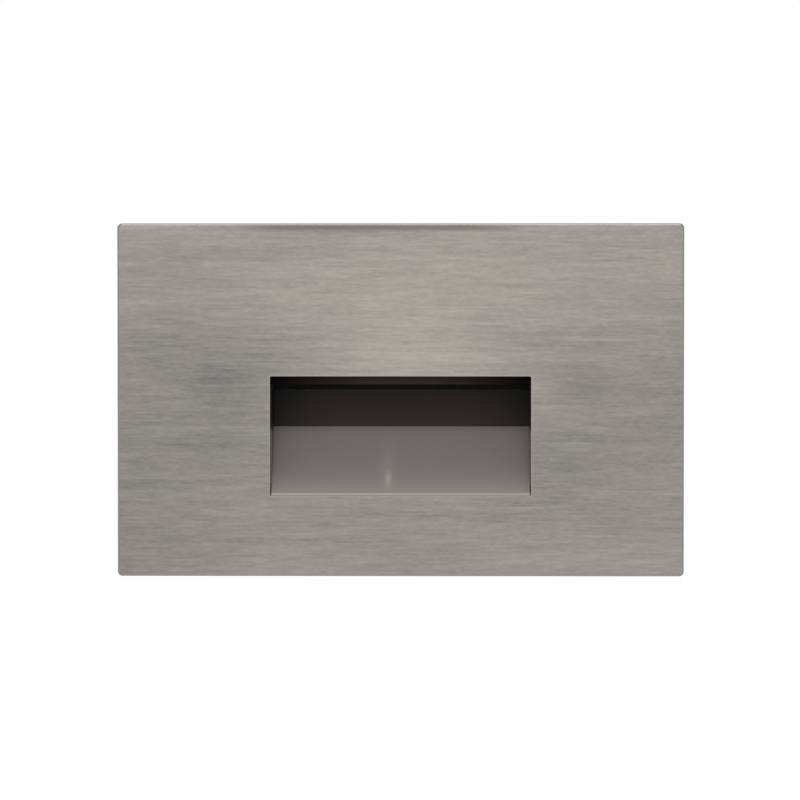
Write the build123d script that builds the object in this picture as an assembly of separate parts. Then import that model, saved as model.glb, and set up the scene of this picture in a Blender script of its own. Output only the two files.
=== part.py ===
from build123d import *
from math import asin, atan2, cos, hypot, pi, sin, tan
import os

# Recessed LED step light that fits a single-gang wall box lying on its side, in millimetres.
# Seen from the front, +X is to the right, +Z is up and +Y runs into the wall.
# The origin lies midway between the two box screws, on the surface of the wall.

# Clearances
screw_gap = 0.1         # a screw in its clearance hole
thread_gap = 0.05       # a screw in its thread
soft_gap = 0.3          # rubber, foam and pads from what they seal or fill
bay_gap = 0.3           # the scoop and the LED carrier in the housing's bay
window_gap = 0.3        # the housing in the mounting plate's window
locating_gap = 0.35     # the mounting plate inside the faceplate's returns
latch_gap = 0.1         # the magnets from the mounting plate
cup_gap = 0.15          # a magnet in its cup
opening_gap = 0.25      # the scoop's sides from the faceplate's opening
lip_gap = 0.05          # the scoop's lip above the opening's lower edge
glue_gap = 0.05         # a glued foam strip from what it lies between
trim_gap = 0.3          # the scoop and the bezel behind the faceplate
face_gap = 1.1          # the housing's flange behind the faceplate
board_gap = 0.3         # a circuit board in its pocket

# Faceplate, a shallow stainless pan
plate_width = 117.5
plate_height = 73.2
plate_wall = 2.0
return_wall = 1.5
plate_corner_r = 1.0
plate_edge_r = 0.4
opening_width = 54.2
opening_height = 24.8
opening_drop = 7.5      # the opening's middle below the plate's
opening_corner_r = 0.3
weep_width = 4.0
weep_height = 1.2
weep_spacing = 60.0

# Pot magnets glued behind the faceplate
magnet_r = 3.0
magnet_spacing_z = 40.0
cup_wall = 0.8
cup_floor = 0.9

# Mounting plate, pressed steel sheet with a stepped rim
sheet = 1.5
box_screw_spacing = 83.34
slot_r = 2.0
slot_length = 9.0
rim_width = 6.0
panel_land = 2.45       # the mounting plate's flat above and below the flange
rim_step = 1.0
rim_corner_r = 3.0
bend_r = 0.45

# Scoop, the hollow that the light falls into
scoop_wall = 1.0
scoop_depth = 14.2      # from the faceplate's front to the back wall
scoop_rise = 13.95      # from the lip's underside to the foot of the back wall
lip_inset = 0.1
lip_r = 0.8
scoop_gasket_thickness = 1.25
ear_reach = 5.45
ear_thickness = 1.5
ear_height = 8.0
scoop_ear_drop = 8.0    # below the origin
ear_corner_r = 1.5

# LED carrier, lens and bezel above the scoop
bezel_drop = 1.7        # how far the bezel shows below the opening's upper edge
bezel_thickness = 2.4
bezel_ledge = 0.9
lens_land = 4.35        # metal beyond each end of the lens
lens_ledge = 2.0        # how far the bezel laps each end of the lens
window_width = 5.6
lens_width = 9.0
lens_thickness = 1.8
lens_bevel = 0.25
lens_gap = 0.3
seal_thickness = 0.5
seal_width = 1.4
led_headroom = 1.5
led_count = 3
led_pitch = 13.0
led_length = 3.5
led_width = 2.8
led_height = 0.8
led_board_inset = 1.5   # in from each end of the lens
led_board_width = 7.0
board_thickness = 1.6
board_corner_r = 0.6
pad_thickness = 0.5
board_screw_inset = 1.9
carrier_roof = 5.0
carrier_ear_height = 11.0   # above the origin

# Housing, die-cast
casting_wall = 2.0
flange_thickness = 1.9
flange_side = 1.5
flange_land = 5.2
flange_corner_r = 3.0
flange_screw_spacing = 54.0
bay_land = 5.85         # solid metal beside the bay
driver_space = 17.4     # behind the driver board
body_corner_r = 3.0
fin_height = 1.5
fin_root = 1.5
fin_tip = 0.9
fin_pitch = 4.0
fin_count = 15
fin_start = 3.0
post_size = 6.4
post_corner_r = 2.0
standoff_height = 2.0
standoff_r = 2.2
standoff_inset = 2.7    # from the driver room's side wall

# Rear cover, its seal and the cable grommet
cover_thickness = 2.0
cover_seal_thickness = 0.5
cover_rib_height = 1.5
cover_rib_width = 1.2
cover_rib_length = 40.0
cover_rib_side = 16.0
bead_height = 0.7
bead_width = 3.0
bead_length = 44.0
bead_spacing = 26.0
grommet_r = 5.2
grommet_lip = 2.0
grommet_lip_thickness = 1.5
grommet_height = 2.0    # above the origin
cable_r = 3.4           # the grommet's bore
ground_x = -21.0
ground_z = -7.0
ground_boss_r = 4.0
ground_boss_height = 3.0

# Driver board
driver_edge_gap = 0.6
lead_r = 0.45
lead_inset = 5.5        # in from the LED board's end
lead_pitch = 2.0
lead_start = 1.8        # in from the LED board's rear edge
lead_hole_gap = 0.25
feed_r = 2.7
feed_lip = 1.1
feed_lip_thickness = 1.0

leg_r = 0.3
leg_stand = 0.4
part_gap = 0.6          # a part from the post or screw at its end of the board
terminal_z = 9.5
terminal_size = (12.0, 8.0, 9.0)
terminal_ways = 3
terminal_entry_r = 1.3
terminal_entry_depth = 5.0
fuse_z = 0.0
fuse_r = 1.8
fuse_length = 9.0
varistor_place = (-9.0, 0.5)
varistor_r = 3.7
varistor_thickness = 3.4
choke_place = (-5.6, 10.5)
choke_r = 4.5
choke_groove = 0.6
choke_flange = 1.2
choke_height = 9.0
film_z = -9.0
film_size = (13.0, 6.0, 10.0)
bridge_place = (-5.0, -9.0)
bridge_size = (8.0, 6.4, 2.6)
input_can_place = (4.4, -9.0)
input_can_r = 5.0
input_can_height = 13.0
output_can_place = (22.0, -6.5)
output_can_r = 4.0
output_can_height = 12.0
can_groove = 0.4
can_groove_height = 1.6
chip_place = (13.6, -7.0)
chip_size = (5.0, 4.0, 1.6)
chip_bevel = 0.3
chip_legs = 4
chip_leg_pitch = 1.27
chip_leg_width = 0.4
chip_leg_reach = 1.0
chip_leg_thickness = 0.25
transformer_place = (7.0, 7.5)
core_width = 15.0
core_height = 12.0
core_depth = 6.0
core_leg = 2.2
core_post = 3.6
core_yoke = 2.4
bobbin_foot = 1.2
winding_gap = 0.15
winding_corner_r = 1.5

# Earth screw
ground_thread_r = 2.0
ground_washer_r = 4.2
ground_washer = 0.8
ground_hex = 7.0
ground_head = 2.4
ground_length = 6.5

# Screws: thread radius, head radius, head height, length and socket across flats
m2_flat = (1.0, 1.75, 0.1, 6.0, 1.3)
m2_pan = (1.0, 1.8, 1.2, 5.0, 1.3)
m25_flat = (1.25, 2.3, 0.1, 8.0, 1.5)
m25_pan = (1.25, 2.3, 1.5, 5.0, 1.5)
m3_flat = (1.5, 2.8, 0.1, 6.0, 2.0)
m3_pan = (1.5, 2.8, 1.9, 10.0, 2.0)
thread_spare = 0.8      # a blind thread runs on past its screw

# Levels along Y, from the wall's surface
sheet_front = -sheet
flange_front = sheet_front - flange_thickness
plate_inner = flange_front - face_gap
plate_front = plate_inner - plate_wall
trim_front = plate_inner + trim_gap
back_wall = plate_front + scoop_depth
bay_rear = back_wall + scoop_wall + bay_gap
bay_depth_middle = (flange_front + back_wall + scoop_wall) / 2
driver_front = bay_rear + casting_wall
driver_board_front = driver_front + standoff_height
driver_board_rear = driver_board_front + board_thickness
body_depth = driver_board_rear + driver_space
rim_rear = body_depth - cover_seal_thickness - 2 * soft_gap
cover_rear = body_depth + cover_thickness

# Levels along Z
opening_top = opening_height / 2 - opening_drop
opening_bottom = opening_top - opening_height
bezel_bottom = opening_top - bezel_drop
bezel_top = bezel_bottom + bezel_thickness
lens_bottom = bezel_bottom + bezel_ledge
lens_top = lens_bottom + lens_thickness
seal_bottom = lens_top + soft_gap
seal_seat = seal_bottom + seal_thickness + soft_gap
led_face = seal_seat + led_headroom
led_board_bottom = led_face + led_height
led_board_top = led_board_bottom + board_thickness
pad_bottom = led_board_top + soft_gap
pocket_roof = pad_bottom + pad_thickness + soft_gap
carrier_top = pocket_roof + carrier_roof
bay_top = carrier_top + bay_gap
scoop_top = bezel_bottom - scoop_gasket_thickness - 2 * glue_gap
core_half_height = bay_top + casting_wall
window_half_height = core_half_height + fin_height + window_gap
flange_half_height = window_half_height + flange_land
flange_screw_z = window_half_height + flange_land / 2
lead_z = led_board_bottom - lead_r - screw_gap

# Half widths along X
scoop_half = opening_width / 2 - opening_gap
trim_half = scoop_half + scoop_wall
lens_length = 2 * (trim_half - lens_land)
window_length = lens_length - 2 * lens_ledge
led_board_length = lens_length - 2 * led_board_inset
lead_x = led_board_length / 2 - lead_inset
bay_half = trim_half + bay_gap
body_half = bay_half + bay_land
flange_half = body_half + flange_side
ear_x = bay_half + bay_land / 2
room_half = body_half - casting_wall
post_x = room_half - post_size / 2
post_z = bay_top - post_size / 2
standoff_x = room_half - standoff_inset

# Driver parts that stand up against the left-hand posts and screw
post_face = room_half - post_size
terminal_place = (part_gap + terminal_size[0] / 2 - post_face, terminal_z)
film_place = (part_gap + film_size[0] / 2 - post_face, film_z)
fuse_place = (part_gap + 3 * leg_r + fuse_length / 2 + m25_pan[1] - standoff_x, fuse_z)

# The mounting plate's rim fits in the faceplate, and its flat middle carries the flange
rim_half = plate_width / 2 - return_wall - locating_gap
rim_half_height = plate_height / 2 - return_wall - locating_gap
panel_half = rim_half - rim_width
panel_half_height = flange_half_height + panel_land
magnet_x = (flange_half + panel_half - sheet) / 2

# The scoop's floor, a flat sheet from the rounded lip up to the foot of the back wall
lip_y = plate_front + lip_inset + lip_r
lip_z = opening_bottom + lip_gap
foot_z = lip_z + scoop_rise
floor_run = back_wall - lip_y
floor_climb = foot_z - lip_z
floor_angle = atan2(floor_climb, floor_run) - asin(lip_r / hypot(floor_run, floor_climb))


def slab(outline, front, rear):
    """An outline seen from the front, given depth from y = front to y = rear."""
    return extrude(Plane.XZ.offset(-rear) * outline, rear - front)


def layer(outline, bottom, top):
    """An outline seen from above, given height from z = bottom to z = top."""
    return extrude(Plane.XY.offset(bottom) * outline, top - bottom)


def rod(x, z, radius, front, rear):
    """A round bar along Y."""
    return slab(Pos(x, z) * Circle(radius), front, rear)


def floor_height(y, below):
    """Height of the line that lies below the scoop's floor, measured square to the floor."""
    return foot_z + (y - back_wall) * tan(floor_angle) - below / cos(floor_angle)


def floor_depth(z, below):
    """Where that same line reaches the height z."""
    return back_wall + (z - foot_z + below / cos(floor_angle)) / tan(floor_angle)


def across(profile, half):
    """A side profile of (y, z) points, given width both ways from the middle."""
    return extrude(Plane.YZ * profile, half, both=True)


def flat_screw(size):
    """A countersunk screw pointing down, its head's face at z = 0."""
    thread_r, head_r, edge, length, socket = size
    outline = Polyline((0, 0), (head_r, 0), (head_r, -edge), (thread_r, -edge - head_r + thread_r),
                       (thread_r, -length), (0, -length), close=True)
    body = revolve(Plane.XZ * make_face(outline), Axis.Z)
    key = extrude(RegularPolygon(socket / 2, 6, major_radius=False), -thread_r)
    return body - key


def flat_hole(size):
    """The clearance hole and countersink for a flat screw."""
    thread_r, head_r, edge, length, socket = size
    bore_r = thread_r + screw_gap
    rim_r = head_r + screw_gap
    outline = Polyline((0, screw_gap), (rim_r, screw_gap), (rim_r, -edge), (bore_r, -edge - rim_r + bore_r),
                       (bore_r, -length), (0, -length), close=True)
    return revolve(Plane.XZ * make_face(outline), Axis.Z)


def pan_screw(size):
    """A pan-head screw pointing down, its head standing on z = 0."""
    thread_r, head_r, head, length, socket = size
    cap = extrude(Circle(head_r), head)
    cap = fillet(cap.edges().group_by(Axis.Z)[-1], head / 3)
    key = Pos(0, 0, head) * extrude(RegularPolygon(socket / 2, 6, major_radius=False), -head / 2)
    return cap + extrude(Circle(thread_r), -length) - key


from_front = Rot(90, 0, 0)     # turns a screw that points down to point into the wall
from_rear = Rot(-90, 0, 0)
from_below = Rot(180, 0, 0)


def corners(x, z):
    """The four places at plus and minus x and z, seen from the front."""
    return [(sx * x, sz * z) for sx in (-1, 1) for sz in (-1, 1)]


def ear_outline(z):
    """The pair of screw ears beside the bay, as one outline seen from the front."""
    width = 2 * (trim_half + ear_reach)
    return Pos(0, z) * RectangleRounded(width, ear_height, ear_corner_r)


def faceplate():
    """A stainless pan whose returns stand on the wall, with the light's opening low in its front."""
    pan = slab(RectangleRounded(plate_width, plate_height, plate_corner_r), plate_front, 0)
    pan = fillet(pan.faces().sort_by(Axis.Y)[0].edges(), plate_edge_r)
    inside = RectangleRounded(plate_width - 2 * return_wall, plate_height - 2 * return_wall,
                              plate_corner_r)
    pan -= slab(inside, plate_inner, 0)
    opening = RectangleRounded(opening_width, opening_height, opening_corner_r)
    pan -= slab(Pos(0, -opening_drop) * opening, plate_front, plate_inner)
    for side in (-1, 1):
        notch = Pos(side * weep_spacing / 2, return_wall / 2 - plate_height / 2)
        pan -= slab(notch * Rectangle(weep_width, return_wall), -weep_height, 0)
    return pan


def magnet_places():
    return corners(magnet_x, magnet_spacing_z / 2)


def magnet_cup(x, z):
    outer_r = magnet_r + cup_gap + cup_wall
    cup = rod(x, z, outer_r, plate_inner, sheet_front - latch_gap)
    return cup - rod(x, z, magnet_r + cup_gap, plate_inner + cup_floor, sheet_front - latch_gap)


def magnet(x, z):
    return rod(x, z, magnet_r, plate_inner + cup_floor, sheet_front - latch_gap)


def mounting_plate():
    """Steel plate whose middle lies on the wall box, and whose rim steps forward over the seal."""
    panel = RectangleRounded(2 * panel_half, 2 * panel_half_height, rim_corner_r)
    rim = RectangleRounded(2 * rim_half, 2 * rim_half_height, rim_corner_r)
    rim -= RectangleRounded(2 * (panel_half - sheet), 2 * (panel_half_height - sheet), rim_corner_r)
    plate = slab(panel, sheet_front, 0) + slab(rim, sheet_front - rim_step, -rim_step)
    bends = plate.edges().filter_by_position(Axis.Y, -bend_r / 2, bend_r / 2)
    bends += plate.edges().group_by(Axis.Y)[0]
    plate = fillet(bends, bend_r)
    window = RectangleRounded(2 * (body_half + window_gap), 2 * window_half_height, body_corner_r)
    plate -= slab(window, sheet_front, 0)
    for side in (-1, 1):
        slot = SlotOverall(slot_length, 2 * slot_r)
        plate -= slab(Pos(side * box_screw_spacing / 2, 0) * slot, sheet_front - rim_step, 0)
    for x, z in corners(flange_screw_spacing / 2, flange_screw_z):
        plate -= rod(x, z, m3_flat[0] + thread_gap, sheet_front, 0)
    return plate


def wall_gasket():
    """A foam ring under the mounting plate's rim, squeezed flush with the wall."""
    ring = RectangleRounded(2 * (rim_half - soft_gap), 2 * (rim_half_height - soft_gap), rim_corner_r)
    ring -= RectangleRounded(2 * (panel_half + soft_gap), 2 * (panel_half_height + soft_gap), rim_corner_r)
    return slab(ring, soft_gap - rim_step, 0)


def body_outline():
    return RectangleRounded(2 * body_half, 2 * core_half_height, body_corner_r)


def room_outline():
    return Rectangle(2 * room_half, 2 * bay_top)


def corner_post(x, z):
    """The outline of one solid post in a corner of the driver room, for a cover screw."""
    size = post_size + post_corner_r
    out_x = post_corner_r / 2 if x > 0 else -post_corner_r / 2
    out_z = post_corner_r / 2 if z > 0 else -post_corner_r / 2
    return Pos(x + out_x, z + out_z) * RectangleRounded(size, size, post_corner_r) & room_outline()


def standoff(side):
    """The outline of a pad that carries the driver board, run into the side wall."""
    width = standoff_inset + casting_wall / 2
    pad = Pos(side * standoff_x, 0) * Circle(standoff_r)
    return pad + Pos(side * (standoff_x + width / 2), 0) * Rectangle(width, 2 * standoff_r)


def driver_room():
    """The sealed room behind and under the scoop, left open to the rear."""
    below = scoop_wall + bay_gap + casting_wall
    low_front = floor_depth(-bay_top, below)
    profile = Polygon((body_depth, -bay_top), (body_depth, bay_top), (driver_front, bay_top),
                      (driver_front, floor_height(driver_front, below)), (low_front, -bay_top), align=None)
    room = across(profile, room_half)
    for x, z in corners(post_x, post_z):
        room -= slab(corner_post(x, z), low_front, body_depth)
    for side in (-1, 1):
        room -= slab(standoff(side), driver_front, driver_board_front)
    return room


def front_bay():
    """The bay that takes the LED carrier above and the scoop below."""
    below = scoop_wall + bay_gap
    mouth = flange_front - trim_gap
    profile = Polygon((mouth, floor_height(mouth, below)), (bay_rear, floor_height(bay_rear, below)),
                      (bay_rear, bay_top), (mouth, bay_top), align=None)
    return across(profile, bay_half)


def fins():
    """Cooling fins with drafted sides, above and below the body."""
    middle = (fin_count - 1) / 2
    tip_z = core_half_height + fin_height
    root_z = core_half_height - fin_height
    outlines = Sketch()
    for turn in (0, 180):
        for index in range(fin_count):
            x = (index - middle) * fin_pitch
            outlines += Rot(0, 0, turn) * Polygon(
                (x - fin_root / 2, root_z), (x + fin_root / 2, root_z),
                (x + fin_tip / 2, tip_z), (x - fin_tip / 2, tip_z), align=None)
    return slab(outlines, fin_start, rim_rear)


def ear_screw_places(z):
    return [(side * ear_x, z) for side in (-1, 1)]


def housing():
    """Die-cast body: flange, front bay, sealed driver room, fins and screw posts."""
    flange = RectangleRounded(2 * flange_half, 2 * flange_half_height, flange_corner_r)
    body = slab(flange, flange_front, sheet_front) + slab(body_outline(), flange_front, rim_rear)
    body += fins()
    for x, z in corners(post_x, post_z):
        body += slab(corner_post(x, z), rim_rear - casting_wall, body_depth)
    body -= front_bay()
    body -= driver_room()
    for z in (-scoop_ear_drop, carrier_ear_height):
        pocket = offset(ear_outline(z), bay_gap)
        body -= slab(pocket, flange_front, flange_front + ear_thickness)
        for x, place in ear_screw_places(z):
            body -= rod(x, place, m25_flat[0] + thread_gap, flange_front,
                        flange_front + m25_flat[3] + thread_spare)
    for x, z in corners(flange_screw_spacing / 2, flange_screw_z):
        body -= Pos(x, flange_front, z) * from_front * flat_hole(m3_flat)
    for x, z in corners(post_x, post_z):
        body -= rod(x, z, m3_pan[0] + thread_gap, body_depth - m3_pan[3] + cover_thickness - thread_spare,
                    body_depth)
    for side in (-1, 1):
        body -= rod(side * standoff_x, 0, m25_pan[0] + thread_gap,
                    driver_board_rear - m25_pan[3] - thread_spare, driver_board_front)
    body -= rod(lead_x, lead_z, feed_r + soft_gap, bay_rear, driver_front)
    return body


def scoop():
    """A folded tray with a sloping floor, a lip rounded at the top, closed sides and two screw ears."""
    rear = back_wall + scoop_wall
    turn = (pi / 2 - floor_angle) / 2
    lip_upper = (lip_y - lip_r * sin(floor_angle), lip_z + lip_r * cos(floor_angle))
    lip_middle = (lip_y - lip_r * cos(turn), lip_z + lip_r * sin(turn))
    lip_nose = (lip_y - lip_r, lip_z)
    inner = Polyline(lip_upper, (back_wall, foot_z), (back_wall, scoop_top))
    outer = Polyline((back_wall, scoop_top), (rear, scoop_top), (rear, floor_height(rear, scoop_wall)),
                     (floor_depth(lip_z, scoop_wall), lip_z), lip_nose)
    sheet_outline = make_face(inner + outer + ThreePointArc(lip_nose, lip_middle, lip_upper))
    tray = across(sheet_outline, scoop_half)
    side = Polygon((trim_front, floor_height(trim_front, scoop_wall)),
                   (rear, floor_height(rear, scoop_wall)), (rear, scoop_top), (trim_front, scoop_top),
                   align=None)
    tray += across(side, trim_half) - across(side, scoop_half)
    ears = slab(ear_outline(-scoop_ear_drop), flange_front, flange_front + ear_thickness)
    tray += ears - across(side, scoop_half)
    for x, z in ear_screw_places(-scoop_ear_drop):
        tray -= Pos(x, flange_front, z) * from_front * flat_hole(m25_flat)
    return tray


def scoop_gasket():
    """A foam strip along the tray's upper edge, which keeps the light out of the housing."""
    rear = back_wall + scoop_wall
    outer = Pos(0, (trim_front + rear) / 2) * Rectangle(2 * trim_half, rear - trim_front)
    inner = Pos(0, (trim_front + back_wall) / 2) * Rectangle(2 * scoop_half, back_wall - trim_front)
    return layer(outer - inner, scoop_top + glue_gap, bezel_bottom - glue_gap)


def seen_from_above(length, width, corner_r=0.0):
    """A rectangle centred over the bay, rounded where a radius is given."""
    shape = RectangleRounded(length, width, corner_r) if corner_r else Rectangle(length, width)
    return Pos(0, bay_depth_middle) * shape


def bezel_screw_places():
    x = (lens_length / 2 + lens_gap + trim_half) / 2
    return [(side * x, bay_depth_middle) for side in (-1, 1)]


def board_screw_places():
    x = led_board_length / 2 - board_screw_inset
    return [(side * x, bay_depth_middle) for side in (-1, 1)]


def lead_places():
    return [(lead_x + side * lead_pitch / 2, lead_z) for side in (-1, 1)]


def led_carrier():
    """An aluminium block that holds the LED board face down and carries its heat away."""
    depth = back_wall + scoop_wall - flange_front
    block = layer(seen_from_above(2 * trim_half, depth), bezel_top, carrier_top)
    block += slab(ear_outline(carrier_ear_height), flange_front, flange_front + ear_thickness)
    seat = seen_from_above(lens_length + 2 * lens_gap, lens_width + 2 * lens_gap)
    block -= layer(seat, bezel_top, seal_seat)
    pocket = seen_from_above(led_board_length + 2 * board_gap, led_board_width + 2 * board_gap)
    block -= layer(pocket, seal_seat, pocket_roof)
    for x, z in ear_screw_places(carrier_ear_height):
        block -= Pos(x, flange_front, z) * from_front * flat_hole(m25_flat)
    for x, y in bezel_screw_places():
        hole_top = bezel_bottom + m2_flat[3] + thread_spare
        block -= layer(Pos(x, y) * Circle(m2_flat[0] + thread_gap), bezel_top, hole_top)
    for x, y in board_screw_places():
        hole_top = led_board_bottom + m2_pan[3] + thread_spare
        block -= layer(Pos(x, y) * Circle(m2_pan[0] + thread_gap), pocket_roof, hole_top)
    for x, z in lead_places():
        block -= rod(x, z, lead_r + lead_hole_gap, bay_depth_middle, back_wall + scoop_wall)
    return block


def lens_bezel():
    """The frame that holds the lens up against its seal; its front edge shows in the opening."""
    depth = back_wall + scoop_wall - trim_front
    outline = Pos(0, trim_front + depth / 2) * Rectangle(2 * trim_half, depth)
    frame = layer(outline, bezel_bottom, bezel_top)
    seat = seen_from_above(lens_length + 2 * lens_gap, lens_width + 2 * lens_gap)
    frame -= layer(seat, lens_bottom, bezel_top)
    frame -= layer(seen_from_above(window_length, window_width, board_corner_r), bezel_bottom, lens_bottom)
    for x, y in bezel_screw_places():
        frame -= Pos(x, y, bezel_bottom) * from_below * flat_hole(m2_flat)
    return frame


def lens():
    """Frosted glass with bevelled edges."""
    glass = layer(seen_from_above(lens_length, lens_width), lens_bottom, lens_top)
    return chamfer(glass.edges().group_by(Axis.Z)[-1], lens_bevel)


def lens_seal():
    ring = seen_from_above(lens_length, lens_width)
    ring -= seen_from_above(lens_length - 2 * seal_width, lens_width - 2 * seal_width)
    return layer(ring, seal_bottom, seal_bottom + seal_thickness)


def led_board():
    board = layer(seen_from_above(led_board_length, led_board_width, board_corner_r),
                  led_board_bottom, led_board_top)
    for x, y in board_screw_places():
        board -= layer(Pos(x, y) * Circle(m2_pan[0] + screw_gap), led_board_bottom, led_board_top)
    return board


def thermal_pad():
    pad = layer(seen_from_above(led_board_length, led_board_width), pad_bottom, pad_bottom + pad_thickness)
    for x, y in board_screw_places():
        pad -= layer(Pos(x, y) * Circle(m2_pan[0] + soft_gap), pad_bottom, pad_bottom + pad_thickness)
    return pad


def led_chip(index):
    x = (index - (led_count - 1) / 2) * led_pitch
    return layer(Pos(x, bay_depth_middle) * Rectangle(led_length, led_width), led_face, led_board_bottom)


def led_lead(x, z):
    """A stiff lead from a pad on the LED board, through the partition, into the driver board."""
    start = bay_depth_middle + led_board_width / 2 - lead_start
    return rod(x, z, lead_r, start, driver_board_rear)


def lead_grommet():
    plug = rod(lead_x, lead_z, feed_r, bay_rear + screw_gap, driver_front + soft_gap)
    plug += rod(lead_x, lead_z, feed_r + feed_lip, driver_front + soft_gap,
                driver_front + soft_gap + feed_lip_thickness)
    for x, z in lead_places():
        plug -= rod(x, z, lead_r + soft_gap, bay_rear, driver_board_front)
    return plug


def rear_cover():
    """A cast cover that stands on the four posts, with locating ribs inside and beads outside."""
    cover = slab(body_outline(), body_depth, cover_rear)
    rib_z = bay_top - bay_gap - cover_rib_width / 2
    rib_x = room_half - bay_gap - cover_rib_width / 2
    for side in (-1, 1):
        rib = Pos(0, side * rib_z) * Rectangle(cover_rib_length, cover_rib_width)
        rib += Pos(side * rib_x, 0) * Rectangle(cover_rib_width, cover_rib_side)
        cover += slab(rib, body_depth - cover_rib_height, body_depth)
        bead = Pos(0, side * bead_spacing / 2) * SlotOverall(bead_length, bead_width)
        cover += slab(bead, cover_rear, cover_rear + bead_height)
    boss_front = body_depth - ground_boss_height
    cover += rod(ground_x, ground_z, ground_boss_r, boss_front, body_depth)
    cover -= rod(0, grommet_height, grommet_r + soft_gap, body_depth, cover_rear)
    for x, z in corners(post_x, post_z):
        cover -= rod(x, z, m3_pan[0] + screw_gap, body_depth, cover_rear)
    cover -= rod(ground_x, ground_z, ground_thread_r + thread_gap, boss_front, cover_rear)
    return cover


def cover_seal():
    """A rubber ring on the body's rear rim, clear of the four posts."""
    rim = body_outline() - offset(room_outline(), soft_gap, kind=Kind.INTERSECTION)
    return slab(rim, rim_rear + soft_gap, rim_rear + soft_gap + cover_seal_thickness)


def cable_grommet():
    """A rubber grommet for the supply cable, which the photograph does not show."""
    neck_front = body_depth - soft_gap
    neck_rear = cover_rear + soft_gap
    plug = rod(0, grommet_height, grommet_r, neck_front, neck_rear)
    lip_r = grommet_r + grommet_lip
    plug += rod(0, grommet_height, lip_r, neck_front - grommet_lip_thickness, neck_front)
    outer = rod(0, grommet_height, lip_r, neck_rear, neck_rear + grommet_lip_thickness)
    plug += fillet(outer.edges().group_by(Axis.Y)[-1], grommet_lip_thickness / 2)
    bore_front = neck_front - grommet_lip_thickness
    bore_rear = neck_rear + grommet_lip_thickness
    return plug - rod(0, grommet_height, cable_r, bore_front, bore_rear)


def cover_screw(x, z):
    return Pos(x, cover_rear, z) * from_rear * pan_screw(m3_pan)


def ground_screw():
    """A hexagon-headed screw with a pressed washer, for the earth lead."""
    hexagon = RegularPolygon(ground_hex / 2, 6, major_radius=False)
    screw = extrude(Circle(ground_washer_r), ground_washer) + extrude(Circle(ground_thread_r), -ground_length)
    screw += Pos(0, 0, ground_washer) * extrude(hexagon, ground_head)
    return Pos(ground_x, cover_rear, ground_z) * from_rear * screw


def driver_board():
    """A board that fills the driver room, cut away round the posts."""
    outline = Rectangle(2 * (room_half - driver_edge_gap), 2 * (bay_top - driver_edge_gap))
    for x, z in corners(post_x, post_z):
        outline -= offset(corner_post(x, z), driver_edge_gap)
    board = slab(outline, driver_board_front, driver_board_rear)
    for side in (-1, 1):
        board -= rod(side * standoff_x, 0, m25_pan[0] + screw_gap, driver_board_front, driver_board_rear)
    for x, z in lead_places():
        board -= rod(x, z, lead_r + screw_gap, driver_board_front, driver_board_rear)
    return board


def on_board(place, size):
    """A rectangular component: size is its width, its height and how far it stands off the board."""
    width, height, depth = size
    return slab(Pos(*place) * Rectangle(width, height), driver_board_rear, driver_board_rear + depth)


def legs(place, pitch, along_x, reach):
    """Two wire legs that hold a component off the board."""
    x, z = place
    step = pitch / 2
    ends = [(x - step, z), (x + step, z)] if along_x else [(x, z - step), (x, z + step)]
    return [rod(leg_x, leg_z, leg_r, driver_board_rear, driver_board_rear + reach) for leg_x, leg_z in ends]


def input_terminal():
    """A terminal block for the supply leads, with round entries facing the cable grommet."""
    block = on_board(terminal_place, terminal_size)
    width, height, depth = terminal_size
    x, z = terminal_place
    top = driver_board_rear + depth
    pitch = width / terminal_ways
    for way in range(terminal_ways):
        entry_x = x + (way - (terminal_ways - 1) / 2) * pitch
        block -= rod(entry_x, z - height / 5, terminal_entry_r, top - terminal_entry_depth, top)
        block -= slab(Pos(entry_x, z + height / 4) * Rectangle(terminal_entry_r, terminal_entry_r),
                      top - terminal_entry_depth / 2, top)
    return block


def fuse_resistor():
    """A fusible resistor lying just off the board on its two bent legs."""
    x, z = fuse_place
    axis_y = driver_board_rear + leg_stand + fuse_r
    body = Pos(x, axis_y, z) * Rot(0, 90, 0) * Cylinder(fuse_r, fuse_length)
    body = fillet(body.edges(), fuse_r / 3)
    body += Pos(x, axis_y, z) * Rot(0, 90, 0) * Cylinder(leg_r, fuse_length + 4 * leg_r)
    for leg in legs(fuse_place, fuse_length + 4 * leg_r, True, leg_stand + fuse_r + leg_r):
        body += leg
    return body


def varistor():
    """A dipped disc standing on edge."""
    x, z = varistor_place
    axis_y = driver_board_rear + leg_stand + varistor_r
    disc = Pos(x, axis_y, z) * Rot(0, 90, 0) * Cylinder(varistor_r, varistor_thickness)
    disc = fillet(disc.edges(), varistor_thickness / 3)
    for leg in legs(varistor_place, varistor_r, False, leg_stand + varistor_r):
        disc += leg
    return disc


def can_capacitor(place, radius, height):
    """An aluminium can with a rolled groove near its foot and a rounded top."""
    groove = radius - can_groove
    foot = can_groove_height
    outline = Polyline((0, 0), (radius, 0), (radius, foot), (groove, foot + can_groove),
                       (radius, foot + 2 * can_groove), (radius, height), (0, height), close=True)
    can = revolve(Plane.XZ * make_face(outline), Axis.Z)
    can = fillet(can.edges().group_by(Axis.Z)[-1], can_groove)
    return Pos(place[0], driver_board_rear, place[1]) * from_rear * can


def drum_choke():
    """A wound drum core with a flange at each end."""
    x, z = choke_place
    front = driver_board_rear
    drum = rod(x, z, choke_r, front, front + choke_flange)
    drum += rod(x, z, choke_r - choke_groove, front + choke_flange, front + choke_height - choke_flange)
    return drum + rod(x, z, choke_r, front + choke_height - choke_flange, front + choke_height)


def bridge_rectifier():
    body = on_board(bridge_place, bridge_size)
    return chamfer(body.edges().group_by(Axis.Y)[-1], chip_bevel)


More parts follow.
